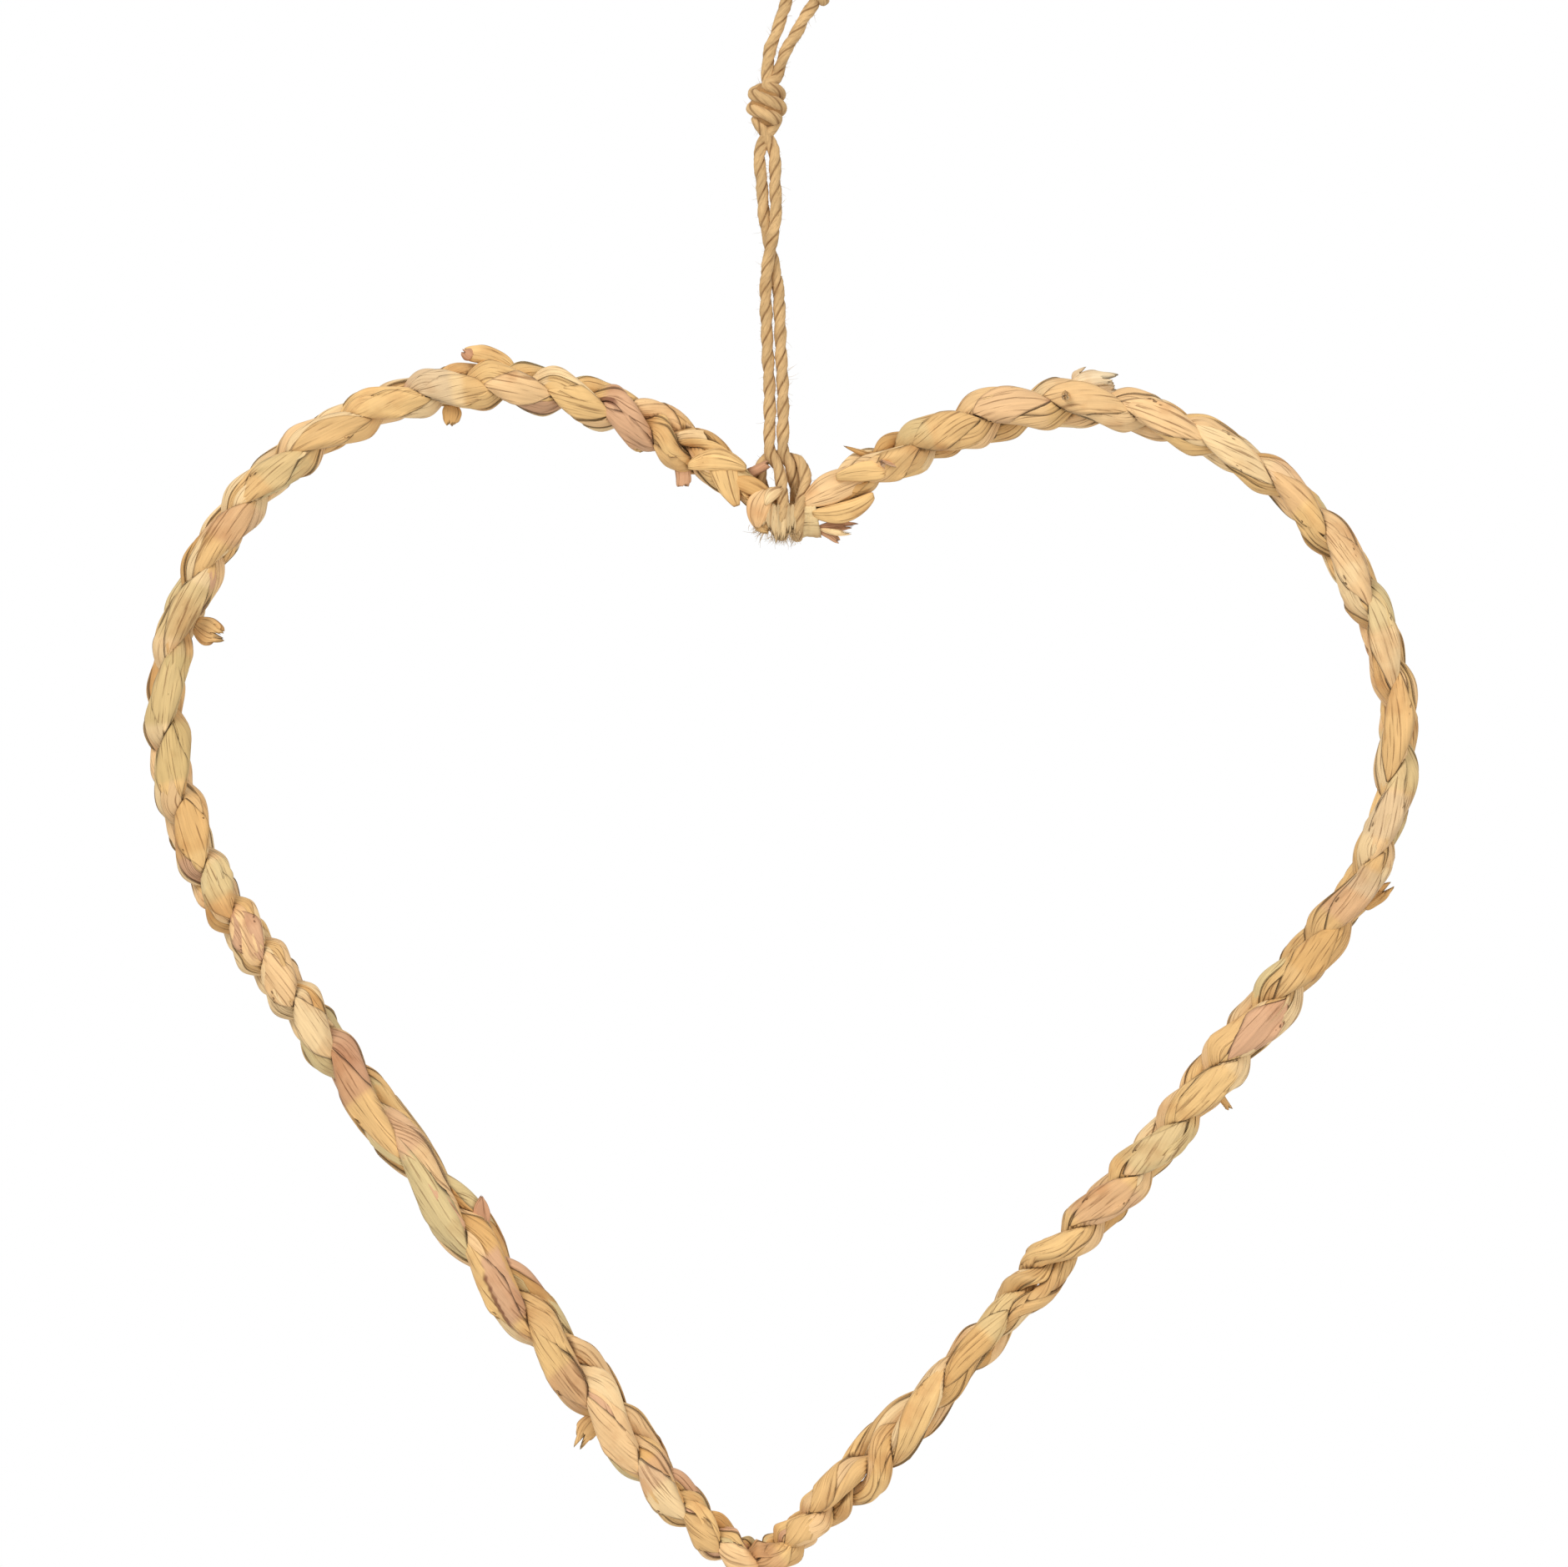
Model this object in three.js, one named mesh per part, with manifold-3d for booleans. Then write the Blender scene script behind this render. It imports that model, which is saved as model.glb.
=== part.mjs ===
// A heart-shaped straw ornament: one three-strand plait of dried leaf bent into a heart,
// bound with a husk at the cleft, and hung from a loop of two-ply jute twine.
// Millimetres, +Z up, the front faces -Y. The origin is the underside of the top of the
// twine loop, where a hook or nail carries the ornament.
import * as THREE from 'three';
import { mergeVertices } from 'three/addons/utils/BufferGeometryUtils.js';
import Module from 'manifold-3d';

// ---------- driving dimensions ----------

// The plait where its size factor is 1.
const SWING = 3;            // how far a strand swings to each edge of the plait
const RISE = 2.1;           // how far it rises to the front and sinks to the back
const STRAND_WIDTH = 3.8;   // the flat bundle of leaf that makes a strand, across
const STRAND_THICK = 1.7;   // and through
const STRAND_STEPS = 201;   // sections along a whole strand

// Centre line of the plait, [x, z], from the left of the cleft round to the right of it.
const HEART = [
  [-2, -115], [-4.6, -113.6], [-8, -110.6], [-15, -105], [-29, -97], [-45.5, -92],
  [-62.5, -92.5], [-79, -98.5], [-93, -109], [-103, -123], [-109, -140.5], [-108.5, -159.5],
  [-101.5, -178.5], [-90, -195], [-77, -212.5], [-63, -231], [-49.5, -249.5], [-35.5, -266.5],
  [-24.5, -281.5], [-16, -290.3], [-11.6, -294.4], [-7, -296.2], [-2.3, -294.2], [3, -289.2],
  [14.5, -278], [29, -262], [44.5, -244.5], [60, -227.5], [74.5, -209.5], [88, -192.5],
  [99, -177], [104.5, -159], [103.5, -142], [97.5, -125.5], [86, -110.5], [70, -100.5],
  [53.5, -95.5], [39, -96], [25, -100.5], [12, -106.7], [6.5, -111.4], [2.4, -114.6],
  [-0.9, -115.1],
];

// The plait isn't even: [distance along it, strand crossings made by then].
const CROSSINGS = [
  [0, -3.2], [13, -2], [31, 0], [64, 3], [87, 5], [114, 7], [169, 11], [208, 15], [223, 16],
  [246.5, 17], [297, 20], [320, 22], [348, 26], [392, 29], [444, 33], [502, 37], [518, 38],
  [576, 42], [629, 46], [649, 48], [660, 49],
];

// [distance along the plait, degrees that it is rolled about its own line].
const ROLL = [
  [0, 200], [14, 195], [38, 110], [200, 95], [232, 70], [300, 70], [345, 110], [362, 250],
  [392, 265], [408, 110], [520, 95], [575, 90], [625, 80], [650, 150], [660, 180],
];

// [distance along the plait, size factor of its strands and their swing].
const SIZE = [
  [0, 0.34], [3, 0.38], [9, 0.7], [15, 0.95], [30, 1.22], [46, 1.32], [60, 1.32], [75, 1.18],
  [98, 1.25], [110, 1.22], [130, 1.15], [142, 1.1], [160, 1.28], [206, 1.3], [220, 1.34],
  [231, 1.24], [250, 1.4], [266, 1.34], [290, 1.45], [303, 1.3], [318, 1.15], [334, 1.1],
  [350, 1.16], [364, 1.3], [380, 1.18], [394, 1.06], [405, 1.12], [417, 1.26], [440, 1.28], [452, 1.44],
  [475, 1.38], [486, 1.15], [498, 1.1], [510, 1.2], [530, 1.12], [548, 1.14], [568, 1.06],
  [585, 1.14], [602, 1.22], [614, 1.42], [627, 1.46], [639, 1.25], [647, 0.9], [652, 0.48],
  [656, 0.37], [660, 0.34],
];

// [distance along the plait, share of a strand's thickness left where a tight bend squashes it].
const SQUASH = [
  [0, 0.8], [25, 1], [300, 1], [314, 0.55], [326, 0.32], [342, 0.36], [360, 0.5],
  [376, 1], [600, 1],
  [630, 0.8], [645, 0.7], [660, 0.6],
];

// Loose cut ends of leaf. at: distance along the plait; edge: 1 outer, -1 inner, 0 front;
// reach: from the strand's middle; lean: share of the plait's own direction.
const LOOSE_ENDS = [
  { at: 10.5, edge: 1, reach: 3.6, lean: -0.3, width: 2.6, thick: 1.2 },
  { at: 21.5, edge: -1, reach: 4.6, lean: 0, width: 2.4, thick: 0.8 },
  { at: 58, edge: 1, reach: 5.6, lean: 0.45, width: 2.8, thick: 1.1 },
  { at: 65, edge: -1, reach: 4.4, lean: 0.1, width: 2.8, thick: 1.0 },
  { at: 128, edge: -1, reach: 5.6, lean: 0.35, width: 3.4, thick: 1.2 },
  { at: 249, edge: -1, reach: 4.2, lean: -0.6, width: 2.4, thick: 0.9 },
  { at: 296, edge: 1, reach: 4.4, lean: -0.3, width: 3.2, thick: 1.3 },
  { at: 446, edge: 1, reach: 4.2, lean: -0.3, width: 2.2, thick: 1.1 },
  { at: 486, edge: 1, reach: 4.6, lean: 0.5, width: 3.6, thick: 1.0 },
  { at: 600, edge: 1, reach: 4.6, lean: 0.1, width: 5.4, thick: 2.0 },
  { at: 607, edge: 0, reach: 4.4, lean: 0.1, width: 3.2, thick: 2.0 },
  { at: 641, edge: 1, reach: 3.8, lean: 0.6, width: 1.6, thick: 0.8 },
  { at: 649, edge: -1, reach: 4.4, lean: 0.5, width: 3.0, thick: 0.9 },
];

// The husk band wound round the joint, just right of the twine.
const BINDING = { x: 3.35, z: -114.2, tilt: 14, length: 2.3, halfHeight: 3.6, halfDepth: 2.9, wall: 0.6 };

// The twine. Two legs hang from the loop, cross once, and hitch round the joint.
const TWINE = { diameter: 2, sides: 8, legGap: 1.16 };
const LEGS = [
  [-3.5, -103.1], [-3.5, -97.3], [-3.6, -91.5], [-3.9, -85.7], [-4.1, -79.9], [-4.35, -74.1],
  [-4.6, -68.3], [-4.6, -62.5], [-4.9, -56.7], [-5.2, -50.9],
];
const LEG_CROSSING = { top: -56, bottom: -80 };
const KNOT = { centre: [-5.2, 0, -42.9], size: [7.6, 6.2, 9.2] };
const TOP_KNOT = { centre: [4.4, 0, -22.6], size: [4.6, 4.2, 5.6] };
const FIRST_HITCH = [
  [-2.5, 2.7, -114.6], [-2.5, 2.0, -117.0], [-2.5, 0, -117.9], [-2.5, -2.0, -117.0],
  [-2.4, -2.8, -115], [-2.4, -2.4, -112.4], [-2.6, -1.5, -109.6], [-3.1, -1.1, -106.3],
];
const SECOND_HITCH = [
  [-1.2, 0.4, -105.6], [-0.5, 1.2, -108.2], [-0.2, 2.3, -110.8], [-0.1, 2.9, -113.4],
  [-0.1, 2.7, -115.9], [-0.1, 1.6, -117.5], [0, 0, -118], [0.1, -1.9, -117.2],
  [0.3, -2.8, -115], [0.6, -2.5, -112.4], [1.3, -1.5, -110.2], [1.5, -0.6, -107.6],
  [0.7, 0.6, -105.3], [-1.2, 2.0, -104.3], [-3.3, 2.6, -103.9], [-5.0, 1.6, -104.3],
  [-6.1, 0.3, -105.7], [-6.3, 0.9, -107.4], [-5.9, 2.4, -109.2], [-5.3, 3.4, -111.4],
];
const LOOP = [
  [-5.6, -42], [-5.2, -38.2], [-4.7, -33.6], [-3.6, -30.6], [-2.7, -27.7], [-1.8, -24.8],
  [-1.5, -20], [-2.2, -14], [-3.4, -8.5], [-4, -4.2], [-3, -0.6], [0, 1], [3.2, -0.5],
  [4.6, -4.2], [5.3, -9], [5.8, -14], [5.2, -20], [3.3, -24.8], [1.4, -27.7], [-0.1, -30.6],
  [-1.9, -33.6], [-3.6, -38.2], [-4.6, -42],
];

const COLOURS = { straw: 0xdab580, paleStraw: 0xe0c08c, darkStraw: 0xcfa56c, husk: 0xd8ba84,
  jute: 0xc39a66 };

// ---------- curves ----------

// A smooth function through [x, y] marks; each mark's slope comes from its neighbours.
function through(marks) {
  const slope = marks.map((mark, i) => {
    const before = marks[Math.max(i - 1, 0)];
    const after = marks[Math.min(i + 1, marks.length - 1)];
    return (after[1] - before[1]) / (after[0] - before[0]);
  });
  return (x) => {
    let i = 0;
    while (i < marks.length - 2 && x > marks[i + 1][0]) i++;
    const span = marks[i + 1][0] - marks[i][0];
    const t = THREE.MathUtils.clamp((x - marks[i][0]) / span, 0, 1);
    const rest = 1 - t;
    return marks[i][1] * rest * rest * (1 + 2 * t) + marks[i + 1][1] * t * t * (3 - 2 * t)
      + span * t * rest * (slope[i] * rest - slope[i + 1] * t);
  };
}

function smoothCurve(points) {
  const curve = new THREE.CatmullRomCurve3(points, false, 'catmullrom', 0.5);
  curve.arcLengthDivisions = points.length * 40;
  return curve;
}

const FRONT = new THREE.Vector3(0, -1, 0);
const heartLine = smoothCurve(HEART.map(([x, z]) => new THREE.Vector3(x, 0, z)));
const heartLength = heartLine.getLength();
const crossingsAt = through(CROSSINGS);
const rollAt = through(ROLL);
const sizeAt = through(SIZE);
const squashAt = through(SQUASH);

// A closed tube through rings of points that all turn the same way round the tube's run.
function sweepRings(rings) {
  const sides = rings[0].length;
  const positions = rings.flat().flatMap((point) => point.toArray());
  const index = [];
  for (let i = 0; i < rings.length - 1; i++) {
    for (let j = 0; j < sides; j++) {
      const a = i * sides + j;
      const b = i * sides + (j + 1) % sides;
      index.push(a, b, b + sides, a, b + sides, a + sides);
    }
  }
  const last = (rings.length - 1) * sides;
  for (let j = 1; j < sides - 1; j++) {
    index.push(0, j + 1, j, last, last + j, last + j + 1);
  }
  const geometry = new THREE.BufferGeometry();
  geometry.setAttribute('position', new THREE.Float32BufferAttribute(positions, 3));
  geometry.setIndex(index);
  return geometry;
}

// A flattened six-sided ring, its flat facing along normal, across a tube that runs along.
function flatRing(centre, along, normal, width, thick) {
  const flat = normal.clone().addScaledVector(along, -normal.dot(along)).normalize();
  const across = new THREE.Vector3().crossVectors(flat, along);
  const halfThick = thick / 2 / Math.sin(Math.PI / 3);
  return Array.from({ length: 6 }, (_, j) => centre.clone()
    .addScaledVector(across, width / 2 * Math.cos(j * Math.PI / 3))
    .addScaledVector(flat, halfThick * Math.sin(j * Math.PI / 3)));
}

// ---------- solids ----------

const wasm = await Module();
wasm.setup();

function toSolid(geometry) {
  const bare = new THREE.BufferGeometry();
  bare.setAttribute('position', geometry.getAttribute('position'));
  bare.setIndex(geometry.getIndex());
  const merged = mergeVertices(bare, 1e-4);
  return new wasm.Manifold(new wasm.Mesh({
    numProp: 3,
    vertProperties: new Float32Array(merged.getAttribute('position').array),
    triVerts: new Uint32Array(merged.getIndex().array),
  }));
}

function toMesh(name, solid, colour, roughness) {
  const { vertProperties, triVerts } = solid.getMesh();
  const geometry = new THREE.BufferGeometry();
  geometry.setAttribute('position', new THREE.Float32BufferAttribute(vertProperties, 3));
  geometry.setIndex(new THREE.BufferAttribute(triVerts, 1));
  geometry.computeVertexNormals();
  const material = new THREE.MeshStandardMaterial({ color: colour, roughness, metalness: 0 });
  const mesh = new THREE.Mesh(geometry, material);
  mesh.name = name;
  return mesh;
}

const fuse = (solids) => solids.reduce((whole, solid) => whole.add(solid));

// ---------- the plait ----------

// The strand's leaf lies flat on the front and the back and turns over at the edges.
const leafTurn = (phase) => {
  const flatShare = THREE.MathUtils.clamp(Math.cos(phase) / 0.9, -1, 1);
  return Math.PI / 2 * Math.sin(Math.PI / 2 * flatShare);
};

// Where strand k is at a distance along the plait. Across the plait it swings as a sine,
// and through the plait it rises and sinks twice as often, so that it weaves.
function strandAt(k, distance) {
  const share = THREE.MathUtils.clamp(distance / heartLength, 0, 1);
  const along = heartLine.getTangentAt(share);
  const outward = new THREE.Vector3(along.z, 0, -along.x);
  const phase = (crossingsAt(distance) + k) * Math.PI * 2 / 3 + Math.PI / 2;
  const roll = THREE.MathUtils.degToRad(rollAt(distance));
  const size = sizeAt(distance);
  const swing = SWING * size * Math.sin(phase);
  const rise = RISE * size * Math.sin(2 * phase);
  const out = swing * Math.cos(roll) - rise * Math.sin(roll);
  const forward = swing * Math.sin(roll) + rise * Math.cos(roll);
  const turn = leafTurn(phase) + roll;
  return {
    point: heartLine.getPointAt(share).addScaledVector(outward, out)
      .addScaledVector(FRONT, forward),
    normal: outward.clone().multiplyScalar(Math.cos(turn)).addScaledVector(FRONT, Math.sin(turn)),
    along, outward, out, forward, size, thick: STRAND_THICK * size * squashAt(distance),
  };
}

function strandTube(k) {
  const stops = Array.from({ length: STRAND_STEPS + 1 },
    (_, i) => strandAt(k, heartLength * i / STRAND_STEPS));
  const rings = stops.map(({ point, normal, size, thick }, i) => {
    const before = stops[Math.max(i - 1, 0)].point;
    const after = stops[Math.min(i + 1, STRAND_STEPS)].point;
    const run = after.clone().sub(before).normalize();
    return flatRing(point, run, normal, STRAND_WIDTH * size, thick);
  });
  return toSolid(sweepRings(rings));
}

// A loose end: a short flat tail that leaves the strand lying on the named edge, curling on.
function looseEnd({ at, edge, reach, lean, width, thick }) {
  const strands = [0, 1, 2].map((k) => ({ k, ...strandAt(k, at) }));
  const score = (s) => (edge === 0 ? s.forward : s.out * edge);
  const host = strands.reduce((best, s) => (score(s) > score(best) ? s : best));
  const away = edge === 0 ? FRONT : host.outward.clone().multiplyScalar(edge);
  const heading = away.clone().addScaledVector(host.along, lean).normalize();
  const flat = edge === 0 ? host.outward : FRONT;
  const rings = [0, 0.4, 0.75, 1].map((share) => {
    const bend = heading.clone().addScaledVector(host.along, 0.5 * lean * share).normalize();
    const taper = 1 - 0.25 * share * share;
    const centre = host.point.clone().addScaledVector(bend, reach * share);
    return flatRing(centre, bend, flat, width * taper, thick);
  });
  return { k: host.k, solid: toSolid(sweepRings(rings)) };
}

const looseEnds = LOOSE_ENDS.map(looseEnd);
const strandColours = [COLOURS.straw, COLOURS.paleStraw, COLOURS.darkStraw];
const strandMeshes = ['a', 'b', 'c'].map((letter, k) => {
  const tails = looseEnds.filter((tail) => tail.k === k).map((tail) => tail.solid);
  return toMesh(`straw_strand_${letter}`, fuse([strandTube(k), ...tails]), strandColours[k], 0.75);
});

// ---------- the husk band ----------

function huskBand() {
  const profile = new THREE.Shape();
  profile.absellipse(0, 0, BINDING.halfHeight, BINDING.halfDepth, 0, Math.PI * 2);
  const bore = new THREE.Path();
  bore.absellipse(0, 0, BINDING.halfHeight - BINDING.wall, BINDING.halfDepth - BINDING.wall,
    0, Math.PI * 2);
  profile.holes.push(bore);
  const geometry = new THREE.ExtrudeGeometry(profile,
    { depth: BINDING.length, steps: 1, bevelEnabled: false, curveSegments: 7 });
  geometry.translate(0, 0, -BINDING.length / 2);
  geometry.rotateY(Math.PI / 2);
  geometry.rotateY(THREE.MathUtils.degToRad(-BINDING.tilt));
  geometry.translate(BINDING.x, 0, BINDING.z);
  geometry.deleteAttribute('normal');
  geometry.deleteAttribute('uv');
  return toSolid(mergeVertices(geometry, 1e-4));
}

// ---------- the twine ----------

function cordTube(points, steps) {
  const section = new THREE.Shape(Array.from({ length: TWINE.sides }, (_, j) => {
    const angle = j * Math.PI * 2 / TWINE.sides;
    return new THREE.Vector2(Math.cos(angle), Math.sin(angle)).multiplyScalar(TWINE.diameter / 2);
  }));
  const geometry = new THREE.ExtrudeGeometry(section,
    { steps, bevelEnabled: false, extrudePath: smoothCurve(points) });
  geometry.deleteAttribute('normal');
  geometry.deleteAttribute('uv');
  return toSolid(mergeVertices(geometry, 1e-4));
}

function lump({ centre, size }) {
  const geometry = new THREE.SphereGeometry(0.5, 10, 6);
  geometry.scale(...size);
  geometry.translate(...centre);
  geometry.deleteAttribute('normal');
  geometry.deleteAttribute('uv');
  return toSolid(mergeVertices(geometry, 1e-4));
}

// One leg, from the joint up to the knot: side is -1 for the leg that starts on the left.
function legPoints(side) {
  return LEGS.map(([x, z]) => {
    const share = (z - LEG_CROSSING.bottom) / (LEG_CROSSING.top - LEG_CROSSING.bottom);
    const angle = Math.PI * THREE.MathUtils.smoothstep(share, 0, 1);
    return new THREE.Vector3(x + side * TWINE.legGap * Math.cos(angle),
      side * TWINE.legGap * Math.sin(angle), z);
  });
}

const toPoint = (numbers) => new THREE.Vector3(...numbers);
const knotCentre = toPoint(KNOT.centre);
const leftLeg = [...FIRST_HITCH.map(toPoint), ...legPoints(-1), knotCentre];
const rightLeg = [...SECOND_HITCH.map(toPoint).reverse(), ...legPoints(1), knotCentre];
const twine = fuse([
  cordTube(leftLeg, 23),
  cordTube(rightLeg, 33),
  cordTube(LOOP.map(([x, z]) => new THREE.Vector3(x, 0, z)), 22),
  lump(KNOT),
  lump(TOP_KNOT),
]);

// ---------- the whole ornament ----------

const ornament = new THREE.Group();
ornament.add(...strandMeshes);
ornament.add(toMesh('husk_binding', huskBand(), COLOURS.husk, 0.8));
ornament.add(toMesh('hanging_twine', twine, COLOURS.jute, 0.9));

export default ornament;
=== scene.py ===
"""The finished look of a plaited straw heart that hangs on jute twine.

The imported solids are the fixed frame. This script dresses them: three strands of folded leaf,
their loose cut ends, the husk round the joint, and the twine with its hitch, knots and fuzz.
Shapes are worked out in millimetres and go into the meshes in metres.
"""
import logging
from dataclasses import dataclass, field, replace
from enum import Enum
from typing import Any, Optional, Sequence

import bpy
import numpy as np
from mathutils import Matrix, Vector


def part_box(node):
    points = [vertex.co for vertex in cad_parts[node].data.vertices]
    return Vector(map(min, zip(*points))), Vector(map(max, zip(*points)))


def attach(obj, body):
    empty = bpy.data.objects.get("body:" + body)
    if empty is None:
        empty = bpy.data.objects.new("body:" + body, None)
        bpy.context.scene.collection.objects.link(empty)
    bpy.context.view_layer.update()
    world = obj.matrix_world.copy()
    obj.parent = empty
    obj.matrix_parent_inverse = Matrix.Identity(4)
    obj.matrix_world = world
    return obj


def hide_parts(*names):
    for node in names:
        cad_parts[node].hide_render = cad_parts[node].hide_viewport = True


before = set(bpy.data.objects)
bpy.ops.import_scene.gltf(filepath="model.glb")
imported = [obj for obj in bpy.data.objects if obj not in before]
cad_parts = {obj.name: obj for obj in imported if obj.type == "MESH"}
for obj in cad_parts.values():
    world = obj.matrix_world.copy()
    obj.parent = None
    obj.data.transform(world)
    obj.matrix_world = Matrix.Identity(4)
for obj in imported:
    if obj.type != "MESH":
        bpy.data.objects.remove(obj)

LOG = logging.getLogger("straw_heart")
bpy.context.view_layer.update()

MM = 0.001
TURN = 2 * np.pi
FRONT = np.array([0.0, -1.0, 0.0])

STRAND_NODES = ("straw_strand_a", "straw_strand_b", "straw_strand_c")

# The line of the plait in the heart's own millimetres, [x, z], from the left of the cleft
# round to the right of it. It is fitted to the frame's strands before it is used.
HEART_LINE = np.array([
    [-2, -115], [-4.6, -113.6], [-8, -110.6], [-15, -105], [-29, -97], [-45.5, -92],
    [-62.5, -92.5], [-79, -98.5], [-93, -109], [-103, -123], [-109, -140.5], [-108.5, -159.5],
    [-101.5, -178.5], [-90, -195], [-77, -212.5], [-63, -231], [-49.5, -249.5],
    [-35.5, -266.5], [-24.5, -281.5], [-16, -290.3], [-11.6, -294.4], [-7, -296.2],
    [-2.3, -294.2], [3, -289.2], [14.5, -278], [29, -262], [44.5, -244.5], [60, -227.5],
    [74.5, -209.5], [88, -192.5], [99, -177], [104.5, -159], [103.5, -142], [97.5, -125.5],
    [86, -110.5], [70, -100.5], [53.5, -95.5], [39, -96], [25, -100.5], [12, -106.7],
    [6.5, -111.4], [2.4, -114.6], [-0.9, -115.1],
])
# How far the plait's solids reach beyond that line: left, below, right, above.
HEART_REACH = np.array([4.1, 2.4, 4.2, 7.7])

# What follows counts the plait as this long, in millimetres; the fitted line is nearly so.
TABLE_LENGTH = 660
# [distance along the plait, value there]: crossings passed, turn of the plait about its own
# line in degrees, and its size as a share of the common size.
CROSSINGS = np.array([
    [0, -3.2], [13, -2], [31, 0], [64, 3], [87, 5], [114, 7], [169, 11], [208, 15], [223, 16],
    [246.5, 17], [297, 20], [320, 22], [348, 26], [392, 29], [444, 33], [502, 37], [518, 38],
    [576, 42], [629, 46], [649, 48], [660, 49],
])
ROLL = np.array([
    [0, 200], [14, 195], [38, 110], [200, 95], [232, 70], [300, 70], [345, 110], [362, 250],
    [392, 265], [408, 110], [520, 95], [575, 90], [625, 80], [650, 150], [660, 180],
])
SIZE = np.array([
    [0, 0.34], [3, 0.38], [9, 0.7], [15, 0.95], [30, 1.22], [46, 1.32], [60, 1.32],
    [75, 1.18], [98, 1.25], [110, 1.22], [130, 1.15], [142, 1.1], [160, 1.28], [206, 1.3],
    [220, 1.34], [231, 1.24], [250, 1.4], [266, 1.34], [290, 1.45], [303, 1.3], [318, 1.15],
    [334, 1.1], [350, 1.16], [364, 1.3], [380, 1.18], [394, 1.06], [405, 1.12], [417, 1.26],
    [440, 1.28], [452, 1.44], [475, 1.38], [486, 1.15], [498, 1.1], [510, 1.2], [530, 1.12],
    [548, 1.14], [568, 1.06], [585, 1.14], [602, 1.22], [614, 1.42], [627, 1.46],
    [639, 1.25], [647, 0.9], [652, 0.48], [656, 0.37], [660, 0.34],
])


# ---------- curves and smooth numbers ----------

def smooth_line(points: np.ndarray, per_span: int = 120) -> np.ndarray:
    """A Catmull-Rom line: between b and c it runs by the cubic of a, b, c and d.

    Args:
        points: the points it passes through, one per row.
        per_span: how many samples lie between two of them.

    Returns:
        The sampled line, one point per row.
    """
    before = 2 * points[:1] - points[1:2]
    after = 2 * points[-1:] - points[-2:-1]
    held = np.vstack([before, points, after])
    t = np.linspace(0, 1, per_span, endpoint=False)[:, None]
    a, b, c, d = held[:-3, None], held[1:-2, None], held[2:-1, None], held[3:, None]
    spans = 0.5 * (2 * b + (c - a) * t + (2 * a - 5 * b + 4 * c - d) * t ** 2
                   + (3 * b - a - 3 * c + d) * t ** 3)
    return np.vstack([spans.reshape(-1, points.shape[1]), points[-1:]])


class Line:
    """A sampled line that is asked for points by the distance along it."""

    def __init__(self, samples: np.ndarray) -> None:
        """Keeps the samples and their distances from the start."""
        self.samples = samples
        steps = np.linalg.norm(np.diff(samples, axis=0), axis=1)
        self.distances = np.concatenate([[0.0], np.cumsum(steps)])

    @property
    def length(self) -> float:
        """The whole length."""
        return float(self.distances[-1])

    def at(self, distance: np.ndarray) -> np.ndarray:
        """The points at these distances, shaped like distance with a last axis of 3."""
        return sampled(distance, self.distances, self.samples)

    def heading(self, distance: np.ndarray, reach: float = 0.4) -> np.ndarray:
        """The running direction, from the chord that reaches both ways."""
        return unit(self.at(distance + reach) - self.at(distance - reach))


def sampled(x: np.ndarray, marks: np.ndarray, rows: np.ndarray) -> np.ndarray:
    """Rows interpolated at x, where marks says what x each row stands at."""
    return np.stack([np.interp(x, marks, column) for column in rows.T], axis=-1)


def unit(vectors: np.ndarray) -> np.ndarray:
    """The vectors at length 1."""
    length = np.linalg.norm(vectors, axis=-1, keepdims=True)
    return vectors / np.maximum(length, 1e-12)


def dot(a: np.ndarray, b: np.ndarray) -> np.ndarray:
    """The dot product over the last axis."""
    return np.sum(a * b, axis=-1)


def through(marks: np.ndarray, x: np.ndarray) -> np.ndarray:
    """A smooth function through [x, y] marks; each slope comes from the neighbour marks.

    Args:
        marks: rows of x and y, with x rising.
        x: where the function is wanted.

    Returns:
        The function's values, from one cubic between each two marks.
    """
    knots, values = marks.T
    lower = np.maximum(np.arange(len(knots)) - 1, 0)
    upper = np.minimum(np.arange(len(knots)) + 1, len(knots) - 1)
    slopes = (values[upper] - values[lower]) / (knots[upper] - knots[lower])
    i = np.clip(np.searchsorted(knots, x, side="right") - 1, 0, len(knots) - 2)
    span = knots[i + 1] - knots[i]
    t = np.clip((x - knots[i]) / span, 0, 1)
    rest = 1 - t
    return (values[i] * rest ** 2 * (1 + 2 * t) + values[i + 1] * t ** 2 * (3 - 2 * t)
            + span * t * rest * (slopes[i] * rest - slopes[i + 1] * t))


def round_line(centre: np.ndarray, side: np.ndarray, up: np.ndarray, radius: np.ndarray,
               angle: np.ndarray) -> np.ndarray:
    """Points at a radius and an angle, from side towards up, round each point of a line.

    Args:
        centre: the line's points, one per row.
        side: the direction of angle 0 at each.
        up: the direction of a quarter turn at each.
        radius: how far out, by row and angle.
        angle: the angles, for all rows or for each.

    Returns:
        The points, rows by angles by 3.
    """
    return (centre[:, None] + side[:, None] * (radius * np.cos(angle))[..., None]
            + up[:, None] * (radius * np.sin(angle))[..., None])


def soft_step(x: np.ndarray, low: float, high: float) -> np.ndarray:
    """0 at low and 1 at high, with a smooth S between; low may be the larger."""
    t = np.clip((x - low) / (high - low), 0, 1)
    return t * t * (3 - 2 * t)


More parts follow.
